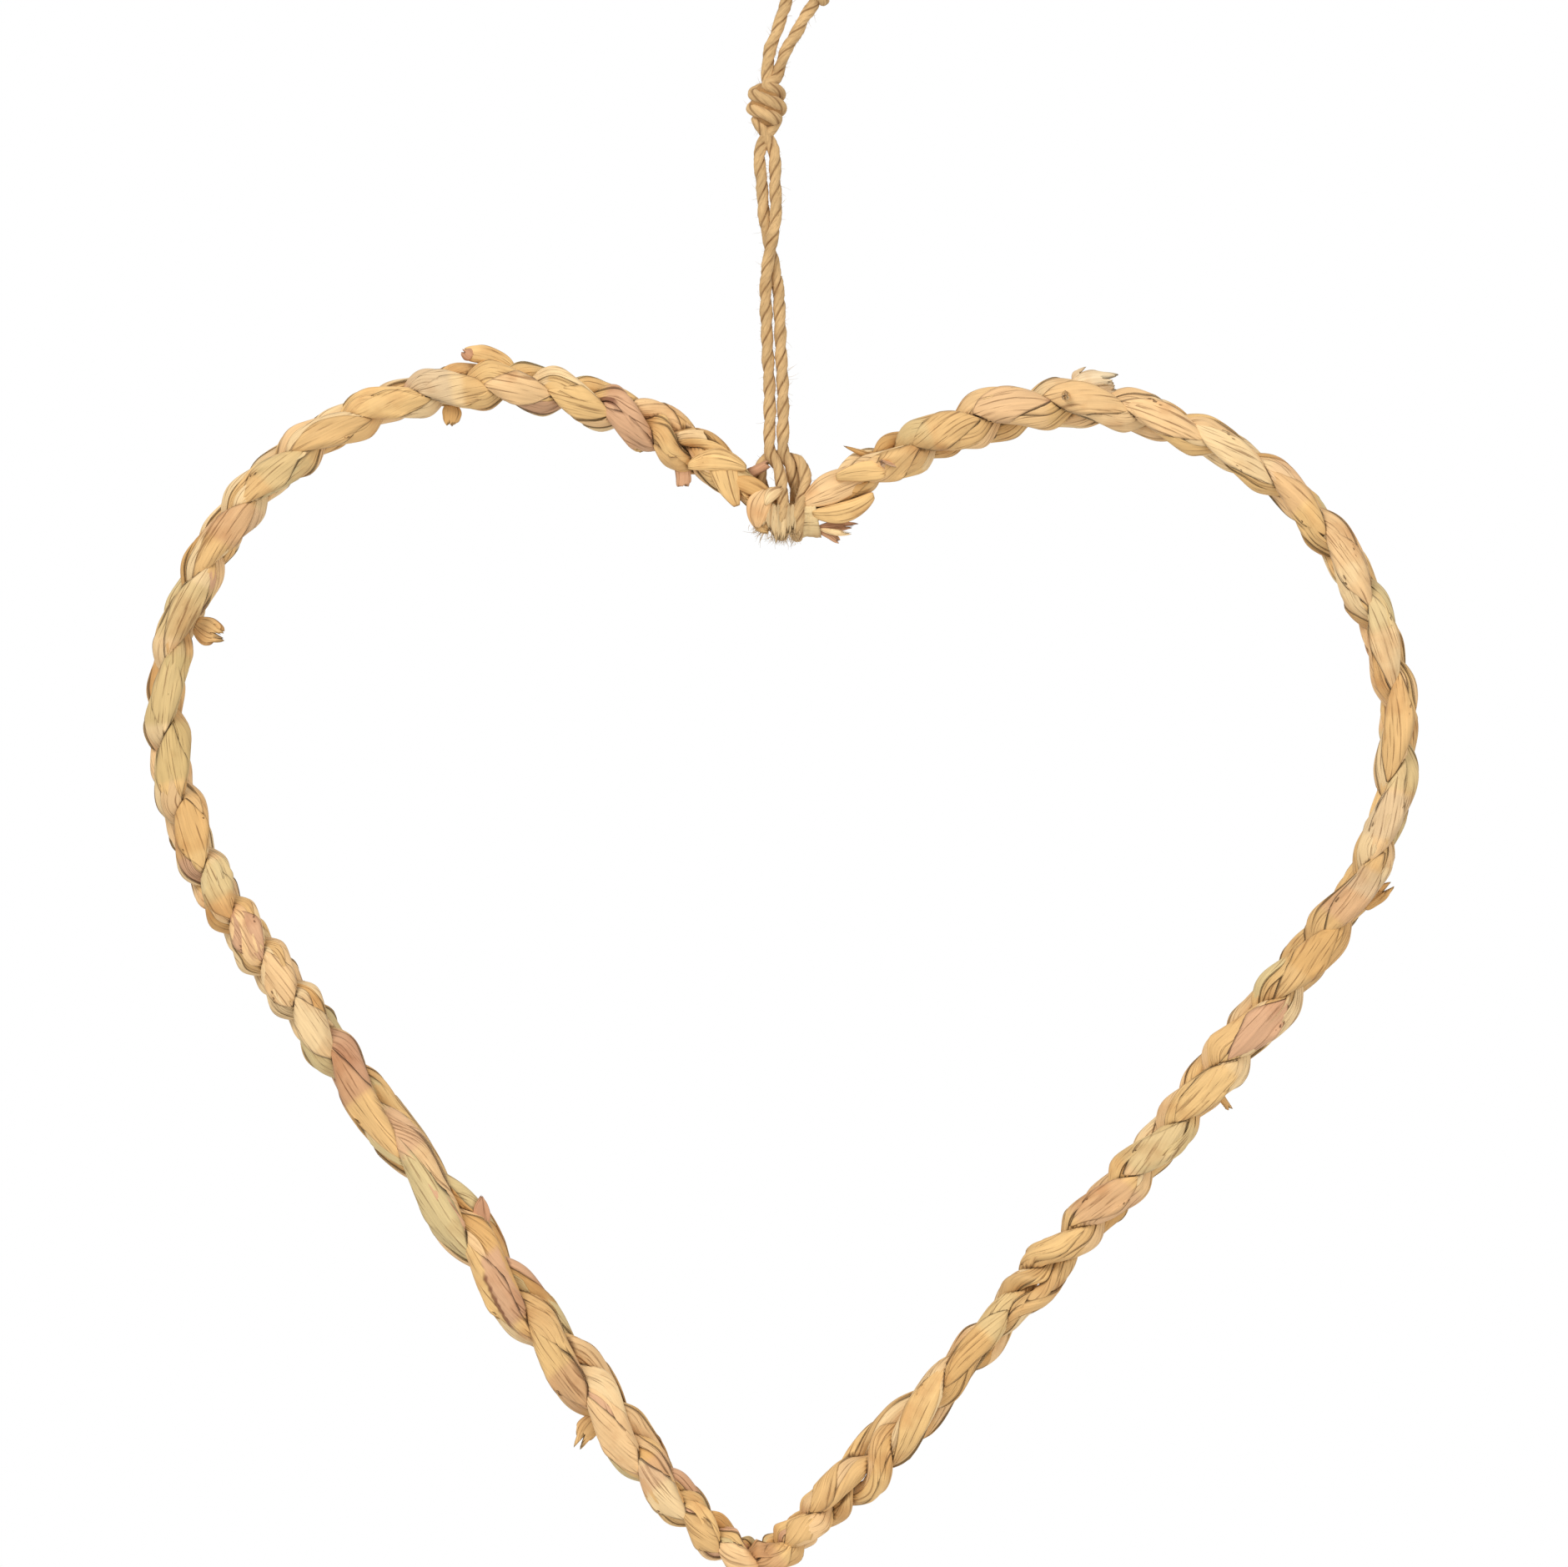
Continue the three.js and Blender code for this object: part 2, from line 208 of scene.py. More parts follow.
@dataclass
class Ripples:
    """Seeded smooth noise: a sum of sines with random phases, near -1 to 1."""

    seed: int
    shortest: float
    longest: float
    waves: int = 6

    def __post_init__(self) -> None:
        """Draws each wave's length and phase."""
        rng = np.random.default_rng(self.seed)
        spread = rng.uniform(0, 1, self.waves)
        self.lengths = self.shortest * (self.longest / self.shortest) ** spread
        self.phases = rng.uniform(0, TURN, self.waves)

    def __call__(self, x: np.ndarray) -> np.ndarray:
        """The noise at x: the mean of the sines, scaled up to fill its range."""
        angle = np.asarray(x)[..., None] * TURN / self.lengths + self.phases
        return np.sin(angle).sum(-1) / np.sqrt(self.waves) * 0.9


def to_linear(colour: Sequence[float]) -> np.ndarray:
    """Turns a 0 to 255 display colour into the linear numbers that shaders use."""
    c = np.asarray(colour, dtype=float) / 255
    return np.where(c <= 0.04045, c / 12.92, ((c + 0.055) / 1.055) ** 2.4)


class Tone(Enum):
    """Display colours, 0 to 255, by name."""

    @property
    def linear(self) -> np.ndarray:
        """The numbers that shaders use for it."""
        return to_linear(self.value)


# ---------- meshes ----------

@dataclass
class Skin:
    """A closed tube of rings, with what its material reads.

    points is rings by sides by 3 in millimetres; tint is a linear colour for each point;
    painted_shade is 0 to 1 where shade is painted into the colour, in creases, grooves and
    under edges; around is the distance round each ring.
    """

    points: np.ndarray
    tint: np.ndarray
    painted_shade: np.ndarray
    along: np.ndarray
    around: np.ndarray

    def flipped(self) -> "Skin":
        """The same tube with its rings in the other order, which turns its faces over."""
        return replace(self, points=self.points[::-1], tint=self.tint[::-1],
                       painted_shade=self.painted_shade[::-1])

    def vertices(self) -> tuple:
        """The points, colours and painted shade of its rings and then of its two end centres."""
        ends = [0, -1]
        return (np.vstack([self.points.reshape(-1, 3), self.points[ends].mean(axis=1)]),
                np.vstack([self.tint.reshape(-1, 3), self.tint[ends, 0]]),
                np.concatenate([self.painted_shade.ravel(), self.painted_shade[ends].mean(1)]))

    def faces(self, start: int) -> list:
        """Its quads, then a fan at each end, counting its vertices from start."""
        rings, sides = self.points.shape[:2]
        ring = np.arange(sides)
        after = (ring + 1) % sides
        first = start + rings * sides
        top = start + (rings - 1) * sides
        return (tube_faces(rings, sides, start).tolist()
                + np.stack([np.full(sides, first), after + start, ring + start], 1).tolist()
                + np.stack([np.full(sides, first + 1), ring + top, after + top], 1).tolist())

    def corners(self) -> np.ndarray:
        """The distance along and round the tube at every corner of its faces."""
        rings, sides = self.points.shape[:2]
        i, j = np.divmod(np.arange((rings - 1) * sides), sides)
        seam = self.around[:, :1] + self.around[:, -1:] * sides / max(sides - 1, 1)
        wide = np.concatenate([self.around, seam], axis=1)
        u = np.stack([self.along[i], self.along[i], self.along[i + 1], self.along[i + 1]], 1)
        v = np.stack([wide[i, j], wide[i, j + 1], wide[i + 1, j + 1], wide[i + 1, j]], 1)
        parts = [np.stack([u, v], -1).reshape(-1, 2)]
        for edge in (0, -1):
            place = np.full(sides, self.along[edge])
            fan = np.stack([place, self.around[edge].mean() + np.zeros(sides)], 1)
            rim = np.stack([place, self.around[edge]], 1)
            parts.append(np.stack([fan, rim, rim], 1).reshape(-1, 2))
        return np.vstack(parts)


def tube_faces(rings: int, sides: int, start: int) -> np.ndarray:
    """Quads between rings that turn about the run by the right hand, faces outwards."""
    i, j = np.meshgrid(np.arange(rings - 1), np.arange(sides), indexing="ij")
    k = (j + 1) % sides
    quads = np.stack([i * sides + j, i * sides + k, (i + 1) * sides + k,
                      (i + 1) * sides + j], axis=-1)
    return quads.reshape(-1, 4) + start


def ring_grid(rings: int, sides: int) -> tuple:
    """The share of the length of each ring, as a column, and the angle of each side."""
    return np.linspace(0, 1, rings)[:, None], np.arange(sides)[None] / sides * TURN


def skins_to_object(name: str, skins: Sequence[Skin]) -> bpy.types.Object:
    """Makes one object of closed tubes, each end capped by a fan round its centre.

    Args:
        name: the piece's name.
        skins: the tubes.

    Returns:
        The new object, smooth shaded, with a UV map in millimetres, Tint and PaintedShade,
        the shade that is painted into its colour.
    """
    verts, tints, painted_shades = zip(*(skin.vertices() for skin in skins))
    starts = np.cumsum([0] + [len(points) for points in verts])
    faces = [face for skin, start in zip(skins, starts) for face in skin.faces(start)]
    mesh = bpy.data.meshes.new(name)
    mesh.from_pydata(np.vstack(verts) * MM, [], faces)
    uv = mesh.uv_layers.new(name="Leaf")
    corners = np.vstack([skin.corners() for skin in skins])
    uv.data.foreach_set("uv", corners.astype(np.float32).ravel())
    colour = mesh.attributes.new("Tint", "FLOAT_COLOR", "POINT")
    colours = np.concatenate([np.vstack(tints), np.ones((starts[-1], 1))], axis=1)
    colour.data.foreach_set("color", colours.astype(np.float32).ravel())
    # PaintedShade says how much shade is painted into the colour at each point.
    painted_shade = mesh.attributes.new("PaintedShade", "FLOAT", "POINT")
    painted_shade.data.foreach_set("value", np.concatenate(painted_shades).astype(np.float32))
    mesh.polygons.foreach_set("use_smooth", np.ones(len(mesh.polygons), dtype=bool))
    mesh.update()
    piece = bpy.data.objects.new(name, mesh)
    bpy.context.scene.collection.objects.link(piece)
    return piece


# ---------- shader maths ----------

class Value:
    """A number socket; Python's operators on it add Math nodes."""

    def __init__(self, graph: "Graph", socket: Any) -> None:
        """Keeps the graph and the socket."""
        self.graph = graph
        self.socket = socket

    def _math(self, operation: str, *terms: Any, clamp: bool = False) -> "Value":
        """Adds one Math node on these terms."""
        inputs = {i: term for i, term in enumerate(terms)}
        node = self.graph.node("ShaderNodeMath", {"operation": operation, "use_clamp": clamp},
                               inputs)
        return Value(self.graph, node.outputs[0])

    def __add__(self, other: Any) -> "Value":
        """self + other."""
        return self._math("ADD", self, other)

    __radd__ = __add__

    def __mul__(self, other: Any) -> "Value":
        """self times other."""
        return self._math("MULTIPLY", self, other)

    __rmul__ = __mul__

    def __sub__(self, other: Any) -> "Value":
        """self - other."""
        return self._math("SUBTRACT", self, other)

    def __rsub__(self, other: Any) -> "Value":
        """other - self."""
        return self._math("SUBTRACT", other, self)

    def __truediv__(self, other: Any) -> "Value":
        """self over other."""
        return self._math("DIVIDE", self, other)

    def __rtruediv__(self, other: Any) -> "Value":
        """other over self."""
        return self._math("DIVIDE", other, self)

    def __pow__(self, other: Any) -> "Value":
        """self to a power."""
        return self._math("POWER", self, other)

    def clamped(self) -> "Value":
        """self kept between 0 and 1."""
        return self._math("ADD", self, 0.0, clamp=True)

    def ramp(self, low: float, high: float) -> "Value":
        """0 at low, 1 at high and straight between; low may be the larger."""
        return ((self - low) * (1 / (high - low))).clamped()


class Graph:
    """A material's node tree, built by one method."""

    def __init__(self, name: str) -> None:
        """Starts an empty material."""
        self.material = bpy.data.materials.new(name)
        self.material.use_nodes = True
        self.tree = self.material.node_tree
        self.tree.nodes.clear()

    def node(self, kind: str, settings: dict, inputs: dict) -> Any:
        """Adds a node.

        Args:
            kind: its type.
            settings: what is set on it first.
            inputs: a value, a socket or a Value for each input, by name or number.

        Returns:
            The node.
        """
        made = self.tree.nodes.new(kind)
        for key, setting in settings.items():
            setattr(made, key, setting)
        for key, value in inputs.items():
            value = value.socket if isinstance(value, Value) else value
            if isinstance(value, bpy.types.NodeSocket):
                self.tree.links.new(value, made.inputs[key])
            else:
                made.inputs[key].default_value = value
        return made

    def attribute(self, name: str, output: str) -> Any:
        """The socket of one of the mesh's own attributes."""
        return self.node("ShaderNodeAttribute", {"attribute_name": name}, {}).outputs[output]

    def mesh_inputs(self) -> tuple:
        """The UV map, the place on the object, and the mesh's own Tint and PaintedShade, its
        painted shade.
        """
        uv = self.node("ShaderNodeUVMap", {"uv_map": "Leaf"}, {}).outputs[0]
        place = self.node("ShaderNodeTexCoord", {}, {}).outputs["Object"]
        return (uv, place, self.attribute("Tint", "Color"),
                Value(self, self.attribute("PaintedShade", "Fac")))

    def scaled(self, colour: Any, by: Value) -> Any:
        """The colour made lighter or darker by a number."""
        return self.node("ShaderNodeVectorMath", {"operation": "SCALE"},
                         {0: colour, "Scale": by}).outputs[0]

    def noise(self, vector: Any, scale: float, detail: float, roughness: float = 0.5) -> Value:
        """Noise from 0 to 1 over a vector."""
        node = self.node("ShaderNodeTexNoise", {}, {
            "Vector": vector, "Scale": scale, "Detail": detail, "Roughness": roughness})
        return Value(self, node.outputs["Fac"])

    def stretched(self, vector: Any, scale: Sequence[float]) -> Any:
        """The vector with each axis scaled."""
        node = self.node("ShaderNodeMapping", {"vector_type": "POINT"},
                         {"Vector": vector, "Scale": tuple(scale)})
        return node.outputs[0]

    def mixed(self, share: Any, a: Any, b: Any, blend: str = "MIX") -> Any:
        """Colour a turned towards colour b by share."""
        node = self.node("ShaderNodeMix", {"data_type": "RGBA", "blend_type": blend},
                         {0: share, 6: a, 7: b})
        return node.outputs[2]

    def finish(self, base: Any, roughness: Any, height: Value, depth: float,
               fixed: dict) -> bpy.types.Material:
        """Joins the pattern to the shader.

        Args:
            base: the colour.
            roughness: the roughness.
            height: the relief, 0 to 1.
            depth: how deep that relief is, in metres.
            fixed: the shader's other sockets, each one number or colour.

        Returns:
            The material.
        """
        bump = self.node("ShaderNodeBump", {}, {
            "Strength": 1.0, "Distance": depth, "Height": height})
        shader = self.node("ShaderNodeBsdfPrincipled", {}, {
            "Base Color": base, "Roughness": roughness, "Normal": bump.outputs[0], **fixed})
        self.node("ShaderNodeOutputMaterial", {}, {"Surface": shader.outputs[0]})
        return self.material


def rgba(colour: Sequence[float]) -> tuple:
    """A display colour as a shader's four numbers."""
    return (*to_linear(colour), 1.0)


@dataclass(frozen=True)
class LeafFinish:
    """Dried leaf: long fibres, thin dark veins, soft blotches, and brown shade painted into
    every crease and under every leaf step.
    """

    name: str = "dried_leaf"
    fibres_per_mm: float = 3.2
    vein: tuple = (128, 72, 22)
    # The colour of the shade painted into creases and under leaf steps.
    painted_shade: tuple = (70, 34, 8)
    blotch: tuple = (196, 146, 84)
    vein_share: float = 0.62
    # How strongly that painted shade is mixed in.
    painted_shade_share: float = 0.92
    relief: float = 0.00022
    sheen: float = 0.03

    def material(self) -> bpy.types.Material:
        """Builds the material on the Leaf UV map, Tint and PaintedShade."""
        g = Graph(self.name)
        uv, place, tint, painted_shade = g.mesh_inputs()
        coarse = g.noise(g.stretched(uv, (0.07, 1.5, 1)), 1.0, 3.0, 0.55)
        fine = g.noise(g.stretched(uv, (0.16, self.fibres_per_mm, 1)), 1.0, 4.0, 0.6)
        veins = g.noise(g.stretched(uv, (0.09, 2.6, 1)), 1.0, 2.0, 0.5)
        blotch = g.noise(place, 130.0, 3.0, 0.5)
        specks = g.noise(place, 900.0, 2.0, 0.5)
        shade = (coarse - 0.5) * 0.30 + (fine - 0.5) * 0.42 + 1.02
        lit = g.scaled(tint, shade)
        vein_line = veins.ramp(0.43, 0.37) * fine.ramp(0.66, 0.40)
        aged = g.mixed(blotch.ramp(0.52, 0.72) * 0.45, lit, rgba(self.blotch), "MULTIPLY")
        veined = g.mixed(vein_line * self.vein_share, aged, rgba(self.vein))
        speckled = g.mixed(specks.ramp(0.72, 0.80) * 0.22, veined, rgba(self.vein))
        # Painted shade: creases and the low side of leaf steps mix towards dark brown, broken a
        # little by the fibres.
        painted_crease_shade = (painted_shade * (0.75 + (fine - 0.5) * 0.8)).clamped()
        base = g.mixed(painted_crease_shade * self.painted_shade_share, speckled, rgba(self.painted_shade))
        rough = 0.50 + fine * 0.22 + painted_shade * 0.15
        height = coarse * 0.5 + fine * 0.5 - vein_line * 0.35
        return g.finish(base, rough, height, self.relief,
                        {"Specular IOR Level": 0.34, "Sheen Weight": self.sheen})


@dataclass(frozen=True)
class JuteFinish:
    """Jute: hair-fine fibres along each ply, with shade painted into the groove between the
    plies.
    """

    name: str = "jute_fibre"
    # The colour of the shade painted into the grooves.
    painted_groove_shade: tuple = (112, 66, 24)
    dark: tuple = (150, 104, 54)
    relief: float = 0.0002

    def material(self) -> bpy.types.Material:
        """Builds the material on the Leaf UV map, Tint and PaintedShade."""
        g = Graph(self.name)
        uv, place, tint, painted_shade = g.mesh_inputs()
        hairs = g.noise(g.stretched(uv, (0.5, 7.0, 1)), 1.0, 4.0, 0.65)
        bands = g.noise(g.stretched(uv, (0.25, 2.5, 1)), 1.0, 2.0, 0.5)
        patches = g.noise(place, 220.0, 2.0, 0.5)
        shade = (hairs - 0.5) * 0.75 + (bands - 0.5) * 0.35 + 1.0
        lit = g.scaled(tint, shade)
        worn = g.mixed(patches.ramp(0.5, 0.75) * 0.30, lit, rgba(self.dark))
        # Painted shade: the grooves between the plies and ribs, and the knot's core, mix towards
        # dark brown.
        base = g.mixed((painted_shade * 0.9).clamped(), worn, rgba(self.painted_groove_shade))
        height = hairs * 0.7 + bands * 0.3
        return g.finish(base, 0.82 + hairs * 0.12, height, self.relief,
                        {"Specular IOR Level": 0.2, "Sheen Weight": 0.08})


# ---------- the plait ----------

class Leaf(Tone):
    """The colours that dried leaf takes in this plait."""

    GOLD = (235, 194, 131)
    PALE = (241, 209, 158)
    TAN = (226, 184, 124)
    PEACH = (237, 197, 144)
    OCHRE = (219, 172, 108)
    PINK = (214, 168, 130)
    ROSE = (200, 150, 114)
    OLIVE = (206, 178, 120)
    GREEN = (217, 193, 140)
    GREY = (218, 190, 150)
    PITH = (238, 216, 178)
    DARK = (112, 58, 36)


COMMON_LEAVES = {Leaf.GOLD: 0.30, Leaf.PALE: 0.20, Leaf.TAN: 0.18, Leaf.PEACH: 0.16,
                 Leaf.OCHRE: 0.06, Leaf.PINK: 0.04, Leaf.GREEN: 0.06}


def drawn_leaves(rng: np.random.Generator, shape: Any) -> np.ndarray:
    """The linear colours of leaves drawn by how common they are, shaped like shape by 3."""
    colours = np.array([kind.linear for kind in COMMON_LEAVES])
    weights = np.array(list(COMMON_LEAVES.values()))
    return colours[rng.choice(len(colours), shape, p=weights / weights.sum())]


@dataclass(frozen=True)
class Patch:
    """A stretch of one strand's front with its own colour.

    distance and across say where its middle is, along the plait and out from its line;
    reach is half its length along the plait; strip limits it to a band of the strand.
    """

    distance: float
    across: float
    reach: float
    leaf: Leaf
    strength: float = 0.8
    strip: Optional[tuple] = None


PATCHES = [
    Patch(12, 0, 5, Leaf.GREEN, 0.6), Patch(31, 1.2, 7.5, Leaf.PINK, 0.95),
    Patch(37.5, 0.6, 3.0, Leaf.DARK, 0.8, (-0.1, 0.25)), Patch(64, 1.0, 2.5, Leaf.PALE, 0.8),
    Patch(68, 0, 4.5, Leaf.GREY, 0.9), Patch(97, 0, 5, Leaf.GREEN, 0.6),
    Patch(110, -1.5, 5, Leaf.PINK, 0.5), Patch(128, 0.5, 6, Leaf.OLIVE, 0.6),
    Patch(142, 0, 7, Leaf.OLIVE, 0.8), Patch(153, 1, 6, Leaf.OLIVE, 0.8),
    Patch(166, 0, 6, Leaf.OCHRE, 0.7), Patch(177, 0, 4, Leaf.GREEN, 0.8),
    Patch(189, 1, 4, Leaf.ROSE, 0.5, (-0.3, 0.1)), Patch(217.5, -2.2, 5.5, Leaf.ROSE, 0.8),
    Patch(231, 0, 5, Leaf.PINK, 0.7), Patch(263.5, 0.3, 7, Leaf.PINK, 0.95, (-0.9, 0.35)),
    Patch(265, 0.3, 6, Leaf.DARK, 0.8, (0.3, 0.5)), Patch(285, 0, 5, Leaf.ROSE, 0.55),
    Patch(305, 0, 3, Leaf.PINK, 0.6), Patch(330, -1, 4, Leaf.PINK, 0.5),
    Patch(362, 0, 7, Leaf.OCHRE, 0.7), Patch(378, 0, 8, Leaf.OCHRE, 0.75),
    Patch(390, 0, 5, Leaf.GREEN, 0.6), Patch(416, 1.5, 6, Leaf.PINK, 0.55),
    Patch(430, 0, 7, Leaf.GREEN, 0.7), Patch(452, 1, 5, Leaf.PALE, 0.6),
    Patch(475, -2, 7, Leaf.OCHRE, 0.85), Patch(484, 1, 5, Leaf.PINK, 0.6),
    Patch(488, -1, 3, Leaf.GREY, 0.7), Patch(500, 0, 5, Leaf.GREY, 0.7),
    Patch(510, 0, 6, Leaf.GREEN, 0.7), Patch(539, 0, 7, Leaf.GREEN, 0.7),
    Patch(544, 1, 2.5, Leaf.PALE, 0.9), Patch(563, -1, 5, Leaf.PINK, 0.4),
    Patch(600, 0, 9, Leaf.PEACH, 0.6), Patch(615, 0, 8, Leaf.PEACH, 0.7),
    Patch(632, 0, 4, Leaf.GREEN, 0.7), Patch(644, -1, 6, Leaf.PEACH, 0.7),
]


@dataclass
class LeafEdge:
    """An edge of leaf that shows as a step along a strand.

    angle is where it lies round the section, in turns from the heart's outer side towards
    the front; wander is how far it strays, and height the most that one leaf stands over
    the other there, which changes along the strand from side to side.
    """

    angle: float
    height: float
    wander: float
    seed: int


@dataclass
class Strand:
    """One strand at every station: where it runs in the plait, and how wide its leaf is."""

    index: int
    distance: np.ndarray
    place: np.ndarray
    facing: np.ndarray
    half_width: np.ndarray
    half_thick: np.ndarray
    centre: np.ndarray
    phase: np.ndarray
    roll: np.ndarray

    @property
    def out(self) -> np.ndarray:
        """How far it lies out from the plait's line."""
        return self.place[:, 0]

    @property
    def forward(self) -> np.ndarray:
        """How far it lies in front of the plait's line."""
        return self.place[:, 1]


@dataclass
class Plait:
    """The three-strand plait, bent into a heart.

    Across the plait a strand swings as a sine of its phase, and through it as the sine of
    twice the phase, so that it weaves. roll turns the whole plait about its own line. The
    soft leaf fills the plait: in the plane across the line, each strand is an oval that
    ends half-way to its neighbours.
    """

    swing: float = 2.5
    rise: float = 1.05
    skew: float = 0.45
    front_share: float = 0.25
    twist: float = 70.0
    leaf_width: float = 4.4
    leaf_thick: float = 3.0
    uneven_width: float = 0.06
    front_width: float = 0.08
    uneven_thick: float = 0.10
    squareness: float = 2.5
    press: float = 20.0
    overlap: float = 0.13
    gap: float = 0.02
    lens_reach: float = 1.2
    lens_width: float = 0.9
    lens_thick: float = 0.26
    lens_drift: float = -0.10
    lens_edge: float = 0.34
    lens_rows: int = 34
    lens_columns: int = 15
    stations: int = 1150
    columns: int = 17
    nearest: float = 0.05
    most_stretches: int = 70
    open_room: float = 50.0
    least_room: float = 0.2
    shaded_step: float = 0.25
    rib_height: float = 0.22
    edges: list = field(default_factory=lambda: [
        LeafEdge(0.08, 0.42, 0.10, 11), LeafEdge(0.24, 0.46, 0.10, 12),
        LeafEdge(0.41, 0.42, 0.09, 13), LeafEdge(0.63, 0.40, 0.10, 14),
        LeafEdge(0.85, 0.40, 0.10, 15)])
    line: Line = field(init=False)
    distance: np.ndarray = field(init=False)
    strands: list = field(init=False)

    def __post_init__(self) -> None:
        """Fits the heart's line to the frame and lays the strands along it."""
        self.line = Line(smooth_line(self._fitted_line()))
        self.distance = np.linspace(0, self.line.length, self.stations)
        self.strands = [self._strand(k) for k in range(len(STRAND_NODES))]

    @staticmethod
    def _fitted_line() -> np.ndarray:
        """The heart's line, moved and scaled so that its plait fills the frame's strands."""
        boxes = np.array([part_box(node) for node in STRAND_NODES]) / MM
        low, high = boxes[:, 0].min(0)[[0, 2]], boxes[:, 1].max(0)[[0, 2]]
        left, below, right, above = HEART_REACH
        own_low = HEART_LINE.min(0) - (left, below)
        own_high = HEART_LINE.max(0) + (right, above)
        share = (HEART_LINE - own_low) / (own_high - own_low)
        flat = low + share * (high - low)
        return np.stack([flat[:, 0], np.zeros(len(flat)), flat[:, 1]], axis=1)

    @property
    def outward(self) -> np.ndarray:
        """The direction away from the heart's inside, at every station."""
        along = self.line.heading(self.distance)
        return np.stack([along[:, 2], np.zeros(len(along)), -along[:, 0]], axis=1)

    def _strand(self, k: int) -> Strand:
        """Lays strand k along the plait's line."""
        distance = self.distance
        share = distance * TABLE_LENGTH / self.line.length
        phase = (through(CROSSINGS, share) + k) * TURN / 3 + TURN / 4
        roll = np.radians(through(ROLL, share))
        size = through(SIZE, share)
        across = self.swing * size * np.sin(phase)
        ahead = np.sin(phase)
        sway = np.sin(2 * phase + self.skew * np.sin(2 * phase))
        through_it = self.rise * size * sway * (1 + self.front_share * ahead)
        place = np.stack([across * np.cos(roll) - through_it * np.sin(roll),
                          across * np.sin(roll) + through_it * np.cos(roll)], axis=1)
        facing = roll + np.arctan(2 * self.rise / self.swing * np.cos(phase))
        centre = (self.line.at(distance) + self.outward * place[:, :1]
                  + FRONT * place[:, 1:])
        uneven = Ripples(40 + k, 14, 60)(distance)
        plump = Ripples(50 + k, 9, 40)(distance)
        return Strand(k, distance, place, facing,
                      0.5 * self.leaf_width * size
                      * (1 + self.uneven_width * uneven + self.front_width * ahead),
                      0.5 * self.leaf_thick * size * (1 + self.uneven_thick * plump),
                      centre, phase, roll)

    def skin(self, strand: Strand) -> Skin:
        """The strand's surface, as a radius from its middle at each angle of the section.

        The free radius is that of a slightly squared oval, plus the leaf steps and fine
        ribs. It is pressed in to the line half-way to each neighbour: the radius to the
        minus n is the sum of the free radius to the minus n and of the distances to those
        lines to the minus n.
        """
        turns, leaf, part = self._columns(strand)
        angle = -turns * TURN
        lean = angle - strand.facing[:, None]
        free = self._oval(lean, strand.half_thick[:, None], strand.half_width[:, None])
        stretch, lift, edge_shade = self._leaves(strand, leaf, part)
        free = free + lift + self._ribs(strand, angle)
        pressed = self._room(strand, angle)
        radius = (free ** -self.press + pressed ** -self.press) ** (-1 / self.press)
        points = round_line(strand.centre, self.outward, FRONT[None], radius, angle)
        # Painted shade: darker where the strand is pressed against a neighbour, and on the low
        # side of each leaf step.
        painted_shade = soft_step(pressed / free, 1.10, 0.99)
        painted_shade = np.maximum(painted_shade, edge_shade)
        tint = self._tint(strand, leaf, stretch,
                          radius * np.cos(angle) / strand.half_width[:, None],
                          radius * np.sin(angle))
        girth = np.pi * (strand.half_width + strand.half_thick)[:, None]
        around = (turns + strand.distance[:, None] / self.twist) * girth + leaf * 7.3
        return Skin(points, tint, painted_shade, Line(strand.centre).distances,
                    around + strand.index * 31)

    def _oval(self, lean: np.ndarray, thick: np.ndarray, wide: np.ndarray) -> np.ndarray:
        """The radius of a slightly squared oval at an angle from its short axis."""
        p = self.squareness
        return (np.abs(np.cos(lean) / thick) ** p
                + np.abs(np.sin(lean) / wide) ** p) ** (-1 / p)

    def _columns(self, strand: Strand) -> tuple:
        """Where each column of the surface lies, so that a leaf's edge is a column.

        Returns:
            Its place round the section in turns, its leaf, and its share across that leaf.
        """
        s = strand.distance
        starts = []
        for edge in self.edges:
            wander = edge.wander * Ripples(edge.seed + 7 * strand.index, 20, 80)(s)
            start = edge.angle + wander + 0.06 * strand.index - s / self.twist
            if starts:
                start = np.maximum(start, starts[-1] + self.nearest)
            starts.append(start)
        starts.append(np.maximum(starts[0] + 1, starts[-1] + self.nearest))
        share = np.linspace(0, 1, self.columns)
        turns = [low[:, None] + (0.002 + 0.998 * share) * (high - low)[:, None]
                 for low, high in zip(starts[:-1], starts[1:])]
        leaf = np.repeat(np.arange(len(self.edges)), self.columns)
        return np.hstack(turns), leaf, np.tile(share, len(self.edges))

    def _room(self, strand: Strand, angle: np.ndarray) -> np.ndarray:
        """How far it is from the strand's middle to the line that it shares with a neighbour.

        The line lies half-way, moved a little towards the strand that lies deeper.
        """
        room = np.full(angle.shape, self.open_room)
        for other in self.strands:
            if other is strand:
                continue
            to_other = other.place - strand.place
            apart = np.linalg.norm(to_other, axis=1)
            depth = (np.linalg.norm(strand.place, axis=1)
                     - np.linalg.norm(other.place, axis=1))
            half = np.maximum(0.5 * apart + self.overlap * depth - self.gap, self.least_room)
            facing = (np.cos(angle) * to_other[:, :1]
                      + np.sin(angle) * to_other[:, 1:]) / apart[:, None]
            room = np.minimum(room, half[:, None] / np.maximum(facing, 0.01))
        return room

